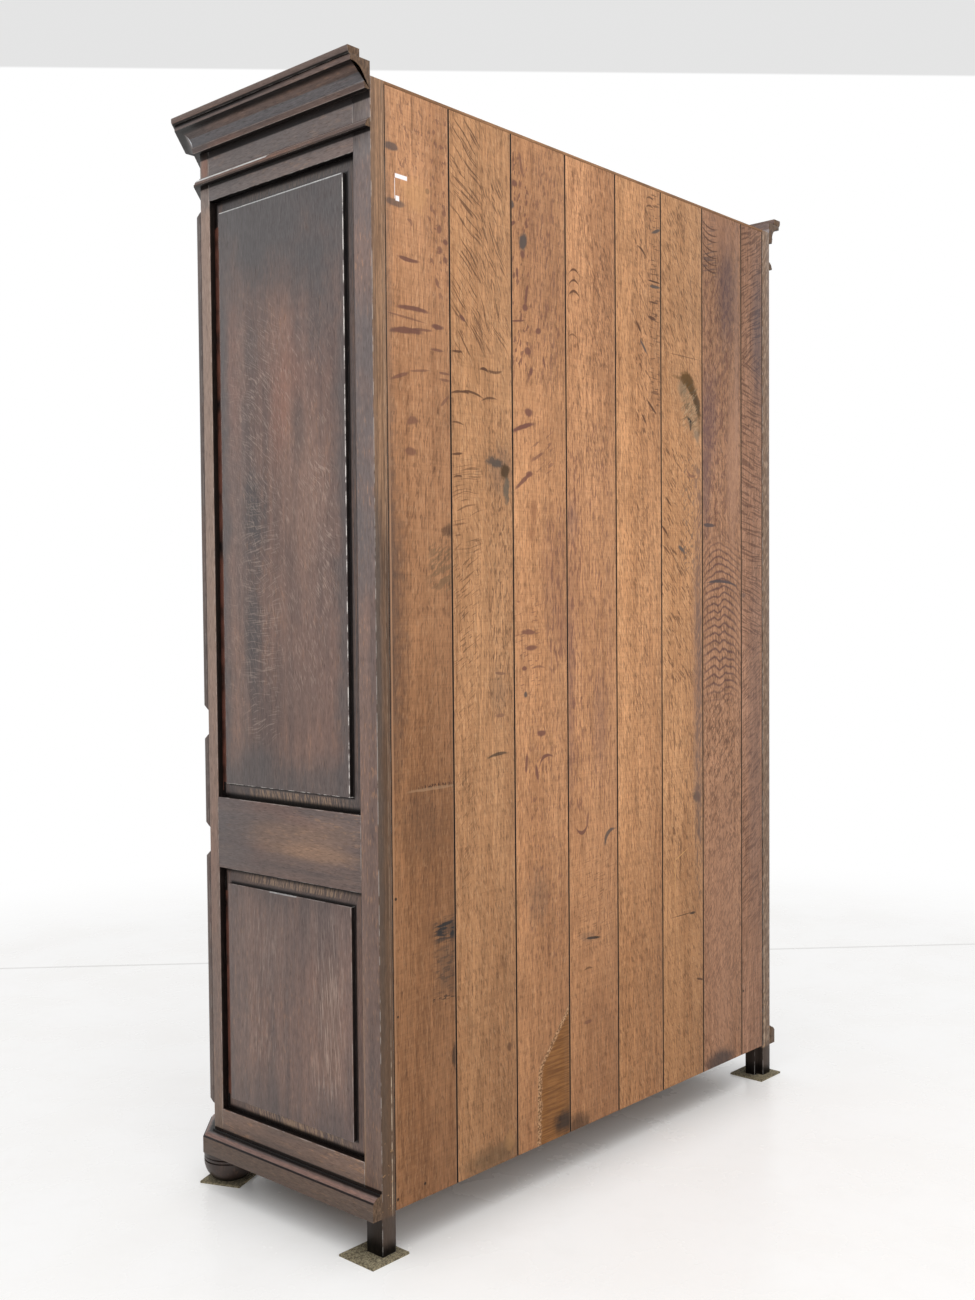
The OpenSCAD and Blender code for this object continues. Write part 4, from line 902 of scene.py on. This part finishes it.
backBoard4 = {
    "seed": 4.7, "figure": 0.16, "foot": 0.55, "tone": (1.2, 1.14, 1.12), "ticks": {"angle": -8},
    "arcs": {"lines": 15},
    "dashes": [
        field(-4, 0.0036, 0.018, 0.585, 0.5, (-0.03, 0.135, 1.45, 2.1, 0.03)),
        field(-28, 0.0034, 0.022, 0.59, 0.55, (-0.03, 0.06, 1.66, 1.95, 0.03)),
        field(0, 0.006, 0.03, 0.54, 0.62, (0.075, 0.135, 0.74, 1.5, 0.02), "plum", detail=2.0),
        field(2, 0.0055, 0.028, 0.565, 0.58, (-0.02, 0.07, 0.76, 1.56, 0.02), "plum", detail=2.0),
        field(80, 0.003, 0.03, 0.62, 0.4, (-0.03, 0.12, 0.45, 0.66, 0.03), bend=0.02),
    ],
    "marks": [
        *short("line",
               (0.103, 1.868, 0.034, 0.0024, 0, 0.01, 0.7), (0.103, 1.846, 0.034, 0.0024, 0, 0.01, 0.7),
               (0.103, 1.824, 0.036, 0.003, 0, 0.01, 0.7), (0.108, 1.735, 0.032, 0.0018, 0, 0.008, 0.5)),
        blot(0.115, 1.25, 0.024, 0.26, "plum", 0.2, edge=0.8),
        *short("plum", (0.085, 0.702, 0.038, 0.0045, -8, -0.012), (0.068, 0.728, 0.008, 0.016, 10, 0, 0.6)),
        *short("slate", (-0.001, 0.69, 0.05, 0.005, -44, 0.012)),
        *short("stain", (0.05, 0.474, 0.05, 0.0028, 6)),
        *short("slate", (0.072, 0.48, 0.05, 0.01, 10, 0, 0.25)),
        *short("line", (0.068, 0.413, 0.03, 0.0022, 0, 0.003, 0.5)),
        *short("plum", (0.07, 0.298, 0.026, 0.004, 0, 0, 0.5)),
        blot(0.132, 1.0, 0.02, 0.2, (0.135, 0.07, 0.06), 0.5, 1.3, 0.8),
        blot(0.024, 0.93, 0.022, 0.09, (0.145, 0.078, 0.064), 0.35, 1.3, 0.8),
        blot(0.118, 1.355, 0.02, 0.035, (0.145, 0.085, 0.07), 0.4, 1.3, 0.8),
        blot(0.108, 0.09, 0.04, 0.02, "stain", 0.65, edge=0.6),
    ],
}
backBoard5 = {
    "seed": 5.9, "figure": 0.1, "tone": (1.31, 1.26, 1.21), "head": 0.15, "foot": 0.68,
    "ticks": {"angle": -14, "amount": 0.3},
    "arcs": {"lines": 13},
    "dashes": [
        field(-8, 0.0036, 0.018, 0.585, 0.42),
        field(-32, 0.0045, 0.02, 0.6, 0.6, (-0.175, -0.1, 1.5, 2.05, 0.015)),
        field(88, 0.0042, 0.028, 0.585, 0.62, (-0.2, -0.165, 1.6, 2.1, 0.012)),
        field(-24, 0.004, 0.018, 0.59, 0.5, (-0.16, -0.09, 0.95, 1.5, 0.02)),
    ],
    "marks": [
        *short("line", (-0.18, 1.893, 0.044, 0.002, 0, 0, 0.8)),
        *short("slate",
               (-0.182, 1.882, 0.044, 0.0032, -4, 0, 0.8), (-0.187, 2.004, 0.034, 0.0036, -22, 0, 0.8)),
        *short("line",
               (-0.178, 1.847, 0.034, 0.0024, 0, 0, 0.7), (-0.172, 1.812, 0.026, 0.0034, 6, 0, 0.7),
               (-0.165, 2.074, 0.026, 0.0024, 0, 0.004, 0.6), (-0.165, 2.056, 0.026, 0.0024, 0, 0.004, 0.6),
               (-0.135, 1.954, 0.036, 0.003, 32, 0.004, 0.7), (-0.12, 1.787, 0.03, 0.0032, 52)),
        *short("slate", (-0.139, 1.746, 0.036, 0.0034, 48, 0, 0.8)),
        *short("line", (-0.17, 1.616, 0.044, 0.0032, 38), (-0.14, 1.588, 0.03, 0.0032, 50, 0, 0.7)),
    ],
}
backBoard6 = {
    "seed": 6.4, "figure": 0.1, "tone": (1.34, 1.33, 1.3), "head": 0.2, "foot": 0.8,
    "ticks": {"angle": -26},
    "arcs": {"lines": 13},
    "dashes": [
        field(-34, 0.0034, 0.022, 0.58, 0.58, (-0.35, -0.21, 1.72, 2.08, 0.03), bend=0.02),
        field(-42, 0.0044, 0.026, 0.6, 0.65, (-0.33, -0.21, 1.0, 1.56, 0.03)),
        field(-4, 0.0042, 0.024, 0.585, 0.55, (-0.33, -0.22, 0.55, 1.05, 0.03)),
        field(6, 0.006, 0.03, 0.52, 0.55, (-0.363, -0.338, 0.5, 1.24, 0.01), "slate", detail=2.0),
        field(35, 0.006, 0.014, 0.57, 0.55, (-0.345, -0.285, 1.26, 1.52, 0.015),
              "slate", detail=2.0, bend=0.05),
    ],
    "marks": [
        blot(-0.324, 1.628, 0.072, 0.026, (0.165, 0.118, 0.072), 0.5, 1.5, 0.7, 58),
        blot(-0.29, 1.675, 0.02, 0.018, (0.15, 0.11, 0.07), 0.55, 1.4, 0.6, 30),
        blot(-0.3376, 1.664, 0.066, 0.0105, (0.07, 0.032, 0.007), 0.95, edge=0.4, angle=49.6, bow=0.03),
        blot(-0.312, 1.692, 0.028, 0.017, (0.08, 0.038, 0.008), 0.95, 1.1, angle=38),
        blot(-0.346, 1.642, 0.022, 0.009, (0.06, 0.03, 0.01), 0.9, 1.1, angle=62),
        blot(-0.318, 1.603, 0.011, 0.004, "stain", 0.85, 1.3, angle=30),
        blot(-0.322, 1.592, 0.004, 0.013, "stain", 0.75, 1.3),
        blot(-0.346, 1.57, 0.018, 0.008, (0.16, 0.12, 0.085), 0.6, 1.4, angle=60),
        blot(-0.342, 0.735, 0.015, 0.011, (0.075, 0.048, 0.034), 0.85, 1.4, angle=20),
        blot(-0.35, 0.735, 0.02, 0.03, "slate", 0.4, 1.4, 0.7),
        blot(-0.352, 1.0, 0.02, 0.33, (0.15, 0.092, 0.078), 0.45, 1.3, 0.8),
        *short("line",
               (-0.233, 1.412, 0.03, 0.0026, 40, 0, 0.7), (-0.216, 1.349, 0.03, 0.0028, 40, 0, 0.7),
               (-0.225, 1.304, 0.03, 0.0026, 36, 0, 0.6)),
        *short("slate", (-0.283, 1.308, 0.026, 0.0045, 30, 0, 0.8)),
        *short("line",
               (-0.257, 1.299, 0.024, 0.003, 30, 0, 0.6), (-0.203, 1.232, 0.022, 0.004, 50, 0, 0.7),
               (-0.204, 1.208, 0.022, 0.0026, 40, 0, 0.6)),
        *short("plum", (-0.32, 1.477, 0.04, 0.0035, 20, -0.008, 0.6)),
        *short("line", (-0.3, 1.745, 0.12, 0.001, 0, 0, 0.5)),
        *short("stain", (-0.285, 0.467, 0.08, 0.001, 0, 0, 0.6), (-0.325, 0.465, 0.024, 0.0028, 0, 0, 0.7)),
        *short("line", (-0.355, 0.304, 0.028, 0.0028, 16, 0, 0.7)),
        *short("ochre",
               (-0.278, 0.607, 0.062, 0.0012, -22, 0, 0.7), (-0.254, 0.565, 0.07, 0.0016, 88, 0, 0.5)),
    ],
    "stains": [
        field(62, 0.0045, 0.02, 0.5, 0.6, (-0.35, -0.285, 1.585, 1.69, 0.014),
              (0.08, 0.055, 0.03), soft=0.1, detail=2.5),
        field(50, 0.004, 0.018, 0.54, 0.5, (-0.35, -0.29, 1.575, 1.68, 0.014),
              (0.36, 0.25, 0.15), soft=0.1, detail=2.5),
        field(8, 0.0065, 0.02, 0.48, 0.66, (-0.366, -0.338, 0.62, 1.5, 0.01),
              (0.12, 0.068, 0.052), soft=0.1, detail=3.0, bend=0.06),
    ],
}
backBoard7 = {
    "seed": 7.2, "figure": 0.75, "tone": (0.95, 0.94, 1.08), "foot": 0.08, "head": 0.24,
    "ticks": {"angle": -20, "over": 0.55, "amount": 0.5},
    "arcs": {"across": 13, "along": 3.5, "peak": (-0.448, 1.0, 3.4), "sway": 0.075, "lines": 58,
             "thin": 0.02, "colour": (0.085, 0.042, 0.038), "area": (-0.53, -0.37, 0.96, 1.33, 0.05)},
    "dashes": [
        field(78, 0.005, 0.06, 0.55, 0.62, (-0.43, -0.37, 1.93, 2.08, 0.02), "slate"),
        field(24, 0.006, 0.022, 0.53, 0.5, (-0.52, -0.37, 1.34, 1.98, 0.04), "plum", bend=0.05, detail=2.0),
        field(40, 0.005, 0.02, 0.54, 0.5, (-0.53, -0.37, 0.25, 0.98, 0.05)),
        field(0, 0.0034, 0.02, 0.6, 0.3),
    ],
    "marks": [
        blot(-0.475, 1.92, 0.036, 0.11, (0.09, 0.06, 0.062), 0.55, edge=0.7),
        blot(-0.398, 1.61, 0.034, 0.1, (0.1, 0.06, 0.062), 0.5, 1.1, 0.7),
        blot(-0.455, 2.06, 0.075, 0.045, (0.4, 0.21, 0.115), 0.4, edge=0.7),
        blot(-0.5, 1.52, 0.026, 0.18, (0.44, 0.245, 0.135), 0.5, edge=0.6),
        blot(-0.519, 1.8, 0.01, 0.25, (0.4, 0.24, 0.15), 0.4, 0.9, 0.6),
        blot(-0.45, 0.42, 0.08, 0.3, (0.35, 0.185, 0.1), 0.45, 0.6, 0.7),
        blot(-0.44, 0.088, 0.056, 0.028, (0.035, 0.032, 0.03), 0.8, 0.5, 0.5),
        blot(-0.385, 1.46, 0.018, 0.1, (0.09, 0.06, 0.062), 0.45, edge=0.7),
        *short("line", *[(-0.402, z, 0.06, 0.0021, 9, -0.007, 0.6)
                         for z in (2.056, 2.041, 2.027, 2.006, 1.99, 1.974, 1.957)]),
        *short("slate", (-0.398, 1.367, 0.05, 0.0045), (-0.45, 1.2365, 0.12, 0.0035, 2, 0.006, 0.8)),
    ],
}
backBoard8 = {
    "seed": 8.8, "tone": (0.88, 0.9, 1.15), "foot": 0.2, "head": 0.22,
    "ticks": {"angle": 30, "over": 0.58, "amount": 0.4},
    "dashes": [
        field(62, 0.0038, 0.05, 0.53, 0.55, (-0.64, -0.52, 1.75, 2.1, 0.03), bend=0.03),
        field(-76, 0.0038, 0.06, 0.53, 0.55, (-0.64, -0.52, 1.08, 1.78, 0.04), bend=0.03),
        field(62, 0.0036, 0.034, 0.545, 0.45, (-0.64, -0.52, 0.4, 1.1, 0.04), bend=0.03),
    ],
    "marks": [
        blot(-0.6, 0.85, 0.03, 0.4, "slate", 0.3, 0.8, 0.7),
        blot(-0.615, 1.85, 0.025, 0.14, (0.07, 0.07, 0.074), 0.5, 0.8, 0.8),
        *short("slate", (-0.545, 1.204, 0.03, 0.006, 0, 0, 0.4)),
        blot(-0.545, 0.236, 0.003, 0.003, "stain", 0.9, 0.3),
    ],
}
backBoards = {
    "back_board_1": backBoard1,
    "back_board_2": backBoard2,
    "back_board_3": backBoard3,
    "back_board_4": backBoard4,
    "back_board_5": backBoard5,
    "back_board_6": backBoard6,
    "back_board_7": backBoard7,
    "back_board_8": backBoard8,
    "top_board": {"seed": 9.5, "figure": 0.2, "tone": (0.7, 0.7, 0.7), "foot": 0},
    "bottom_board": {"seed": 10.1, "figure": 0.3, "tone": (0.75, 0.75, 0.75), "foot": 0},
    "shelf": {"seed": 11.7, "figure": 0.3, "tone": (0.85, 0.85, 0.85), "foot": 0},
    "bearers": {"seed": 12.2, "figure": 0.2, "tone": (0.7, 0.7, 0.7), "foot": 0},
    "foot_blocks": {"seed": 13.3, "figure": 0.2, "tone": (0.5, 0.5, 0.5), "foot": 0},
    "door_stop": {"seed": 14.9, "figure": 0.2, "tone": (0.7, 0.7, 0.7), "foot": 0},
    "rear_bottom_rail": {"seed": 15.4, "figure": 0.2, "tone": (0.6, 0.6, 0.6), "foot": 0},
}

metals = {
    "iron_fittings": {"word": "iron_", "colour": (0.075, 0.066, 0.058), "worn": (0.20, 0.175, 0.15),
                      "metallic": 0.85, "roughness": 0.42},
    "brass_shields": {"word": "brass_", "colour": (0.42, 0.30, 0.12), "worn": (0.62, 0.47, 0.22),
                      "metallic": 1.0, "roughness": 0.28},
}
metalGrit = (0.03, 0.025, 0.02)


def metalMaterial(name, m):
    s = Shader(m["word"] + name)
    cloud = s.noise(s.place, 55, 4, 0.6)
    grit = s.noise(s.place, 620, 3, 0.6)
    shade = s.blend(s.fit(cloud, 0.38, 0.66), m["colour"], m["worn"])
    shade = s.tint(shade, metalGrit, s.fit(grit, 0.55, 0.75), 0.35)
    s.surface.inputs["Metallic"].default_value = m["metallic"]
    return s.finish(shade, s.fit(cloud, 0.35, 0.7, m["roughness"], m["roughness"] + 0.2), grit, 0.2, 0.0003)


felt = {
    "dark": (0.075, 0.060, 0.036),
    "body": (0.29, 0.245, 0.150),
    "pale": (0.37, 0.32, 0.205),
    "roughness": 0.95,
}


def feltMaterial(name):
    s = Shader(name)
    fleck = s.noise(s.place, 330, 3, 0.7)
    patches = s.noise(s.place, 150, 2, 0.6)
    shade = s.blend(s.fit(fleck, 0.42, 0.60), felt["dark"], felt["body"])
    shade = s.tint(shade, felt["pale"], s.fit(patches, 0.5, 0.7), 0.5)
    return s.finish(shade, felt["roughness"], fleck, 0.6, 0.0012)


# All solids in one tree of faces, to feel how open a place is
corners, faces = [], []
for source in nodes.values():
    first = len(corners)
    corners += [v.co.copy() for v in source.data.vertices]
    faces += [[first + i for i in polygon.vertices] for polygon in source.data.polygons]
allPieces = BVHTree.FromPolygons(corners, faces)
feeler = {"reach": 0.04, "rays": 36, "turn": 2.39996, "lift": 0.0008}


# share of directions around each vertex that are free within a short reach
def measureOpenness(bm):
    layer = bm.verts.layers.float.new("openness")
    bm.normal_update()
    rays = feeler["rays"]
    for vert in bm.verts:
        n = vert.normal
        side = n.orthogonal().normalized()
        other = n.cross(side)
        free = 0
        for i in range(rays):
            r, turn = ((i + 0.5) / rays) ** 0.5, i * feeler["turn"]
            way = side * (r * cos(turn)) + other * (r * sin(turn)) + n * (1 - r * r) ** 0.5
            free += allPieces.ray_cast(vert.co + n * feeler["lift"], way, feeler["reach"])[0] is None
        vert[layer] = free / rays


# Softened copies: the solids' edges are slightly rubbed
softening = {"angle": 24, "wood": 0.0011, "moulding": 0.0007, "smooth": 38, "merge": 0.00002, "flat": 0.6}


def softened(name, width):
    bm = bmesh.new()
    bm.from_mesh(nodes[name].data)
    bmesh.ops.remove_doubles(bm, verts=bm.verts, dist=softening["merge"])
    bmesh.ops.dissolve_limit(bm, angle_limit=radians(softening["flat"]), verts=bm.verts, edges=bm.edges,
                             delimit=set())
    limit = radians(softening["angle"])
    sharp = [e for e in bm.edges if len(e.link_faces) == 2 and e.calc_face_angle(0) > limit]
    rub = bm.loops.layers.float.new("rub")
    # hollow edges get neither the rubbed pale nor the painted highlight: each edge's ends are kept, to know
    # its bevel again
    ends = np.array([[*e.verts[0].co, *e.verts[1].co, float(e.is_convex)] for e in sharp]).reshape(-1, 7)
    cut = bmesh.ops.bevel(bm, geom=sharp, offset=width, offset_type="OFFSET", segments=2, profile=0.5,
                          affect="EDGES", clamp_overlap=True, material=-1)
    start, way = ends[:, :3], ends[:, 3:6] - ends[:, :3]
    for face in cut["faces"]:
        off = np.array(face.calc_center_median()) - start
        share = np.clip((off * way).sum(1) / np.maximum((way * way).sum(1), 1e-12), 0, 1)
        nearest = np.argmin(((off - way * share[:, None]) ** 2).sum(1))
        for corner in face.loops:
            corner[rub] = ends[nearest, 6]
    if grainOf.get(name) == "run":
        measureOpenness(bm)
    mesh = bpy.data.meshes.new(name + "_worn")
    bm.to_mesh(mesh)
    bm.free()
    piece = bpy.data.objects.new(name + "_worn", mesh)
    bpy.context.scene.collection.objects.link(piece)
    for polygon in mesh.polygons:
        polygon.use_smooth = True
    mesh.set_sharp_from_angle(angle=radians(softening["smooth"]))
    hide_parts(name)
    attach(piece, bodyOfNode[name])
    return piece


# which way the grain runs; "z" where nothing is said
grainOf = {
    "side_rails_right": "y", "side_rails_left": "y", "front_top_rail": "x", "front_bottom_rail": "x",
    "hanging_rail": "x", "door_rails_right": "x", "door_rails_left": "x", "cornice_moulding": "run",
    "cornice_cap": "run", "frieze_moulding": "run", "plinth_moulding": "run", "top_board": "x",
    "bottom_board": "x", "shelf": "x", "bearers": "y", "door_stop": "x", "rear_bottom_rail": "x",
}
seedStep = 0.37


def stainedMaterial(name, number):
    grain = grainOf.get(name, "z")
    kind, extra = "plain", None
    if grain == "run":
        kind, extra = "run", runLook(name)
    elif "panel" in name:
        kind, extra = "upperPanel" if "upper" in name else "lowerPanel", panelLook(name)
    elif "post" in name or "rails" in name or "stiles" in name:
        kind, extra = "frame", frameLook(name)
    elif "corner_blocks" in name:
        kind = "block"
    elif "front_foot" in name:
        kind = "foot"
    look = {**darkLooks[kind], **darkLooks.get(name, {})}
    return darkOakMaterial("darkOak_" + name, grain, number * seedStep, extra=extra, **look)


for number, (name, source) in enumerate(nodes.items(), 1):
    slotName = slotOfNode[name]
    if slotName == "stained_oak":
        material = stainedMaterial(name, number)
    elif slotName == "back_boards":
        joined = name if name.startswith("back_board") else None
        material = backOakMaterial("boardOak_" + name, backBoards[name], grainOf.get(name, "z"), joined)
    elif slotName in metals:
        material = metalMaterial(name, metals[slotName])
    else:
        material = feltMaterial("felt_" + name)
    piece = source
    isWood = slotName in ("stained_oak", "back_boards")
    if isWood and name != "hanging_rail" and not name.startswith("front_foot"):
        piece = softened(name, softening["moulding" if grainOf.get(name) == "run" else "wood"])
    piece.data.materials.clear()
    piece.data.materials.append(material)
print("materials and softened pieces made", len(nodes))


# Studio: pale floor, white surroundings and soft lamps
studio = {
    "floor": 14.0,
    "floorColour": (0.94, 0.932, 0.918),
    "floorCloud": (0.905, 0.885, 0.855),
    "floorPatches": (0.86, 0.84, 0.81),
    "under": (-0.62, 0.70, -0.25, 0.34, 0.13),
    "underShade": (0.13, 0.115, 0.10),
    "wallLine": (0.5, 1.9, -9, 9, 0.1),
    "wallLineShade": (0.50, 0.50, 0.49),
    "fade": (1.2, 3.6),
    "ceiling": 0.78,
    "ceilingRise": (0.3935, 0.3949),
    "ceilingWidth": (0.66, 0.76),
    "wallAhead": (-0.7154, -0.6987, 0.0),
    "wallFoot": (0.6957, 0.7183, -1.532),
    "ambient": 0.66,
    "lamps": [
        {"name": "overhead", "at": (0.8, 0.6, 4.6), "aim": (0.0, 0.0, 0.6),
         "size": (3.6, 3.6), "power": 92},
        {"name": "behindCamera", "at": (2.4, 4.8, 2.3), "aim": (0.0, 0.2, 1.2),
         "size": (3.6, 2.6), "power": 98},
    ],
}


def floorMaterial(s):
    f = Shader("paleFloor")
    cloud = f.noise(f.place, 3.4, 5, 0.6)
    patches = f.noise(f.place, 13, 4, 0.65)
    shade = f.blend(f.fit(cloud, 0.35, 0.68), s["floorColour"], s["floorCloud"])
    shade = f.tint(shade, s["floorPatches"], f.fit(patches, 0.48, 0.70), 0.35)
    # painted shadow: the floor is dark under the piece
    under = f.area(f.x, f.y, *s["under"])
    shade = f.tint(shade, s["underShade"], under, 0.15)
    # the foot of the far wall draws a thin line on the floor
    nx, ny, off = s["wallFoot"]
    ahead = f.scaled(f.x, nx, f.scaled(f.y, ny, -off))
    sideways = f.size(f.scaled(f.x, -ny, f.times(f.y, nx)))
    line = f.times(f.fit(f.size(ahead), 0.012, 0.004), f.area(sideways, f.x, *s["wallLine"]))
    shade = f.tint(shade, s["wallLineShade"], line, 0.5)
    f.finish(shade, f.fit(cloud, 0.3, 0.7, 0.20, 0.32))
    # far from the piece the floor fades to the white of the room
    length = f.add("ShaderNodeVectorMath", {0: f.place}, operation="LENGTH").outputs["Value"]
    far = f.most(f.fit(length, *s["fade"]), f.times(f.less(1.0, under), 0.50))
    far = f.times(far, f.less(1.0, f.times(line, 0.7)))
    glow = f.add("ShaderNodeEmission", {"Color": (1, 1, 1, 1), "Strength": 1.0})
    seen = f.add("ShaderNodeLightPath").outputs["Is Camera Ray"]
    mix = f.add("ShaderNodeMixShader", {0: f.times(far, seen), 1: f.surface.outputs[0], 2: glow.outputs[0]})
    f.feed(mix.outputs[0], f.out.inputs["Surface"])
    return f.owner


def whiteRoom(s):
    w = Shader("whiteRoom", world=True)
    # the ceiling starts in a straight line above the far wall
    facing = w.add("ShaderNodeVectorMath", {0: w.place, 1: s["wallAhead"]}, operation="DOT_PRODUCT")
    ahead = facing.outputs["Value"]
    rise = w.times(w.math("DIVIDE", w.z, ahead), w.ramp(ahead, *s["ceilingWidth"], 0.0, 1.0))
    over = w.ramp(rise, *s["ceilingRise"], 1.0, s["ceiling"])
    path = w.add("ShaderNodeLightPath").outputs
    shown = w.most(path["Is Camera Ray"], path["Is Glossy Ray"])
    w.surface.inputs["Color"].default_value = (1, 1, 1, 1)
    strength = w.add("ShaderNodeMix", {0: shown, 2: s["ambient"], 3: over}).outputs[0]
    w.feed(strength, w.surface.inputs["Strength"])
    return w.owner


def makeStudio(s):
    bm = bmesh.new()
    bmesh.ops.create_grid(bm, x_segments=1, y_segments=1, size=s["floor"])
    mesh = bpy.data.meshes.new("studioFloor")
    bm.to_mesh(mesh)
    bm.free()
    floor = bpy.data.objects.new("studioFloor", mesh)
    bpy.context.scene.collection.objects.link(floor)
    mesh.materials.append(floorMaterial(s))
    for lamp in s["lamps"]:
        data = bpy.data.lights.new(lamp["name"], "AREA")
        data.shape = "RECTANGLE"
        data.size, data.size_y = lamp["size"]
        data.energy = lamp["power"]
        light = bpy.data.objects.new(lamp["name"], data)
        light.location = lamp["at"]
        aim = Vector(lamp["aim"]) - Vector(lamp["at"])
        light.rotation_euler = aim.to_track_quat("-Z", "Y").to_euler()
        bpy.context.scene.collection.objects.link(light)
    bpy.context.scene.world = whiteRoom(s)
    bpy.context.scene.view_settings.view_transform = "Standard"


makeStudio(studio)
print("studio made")
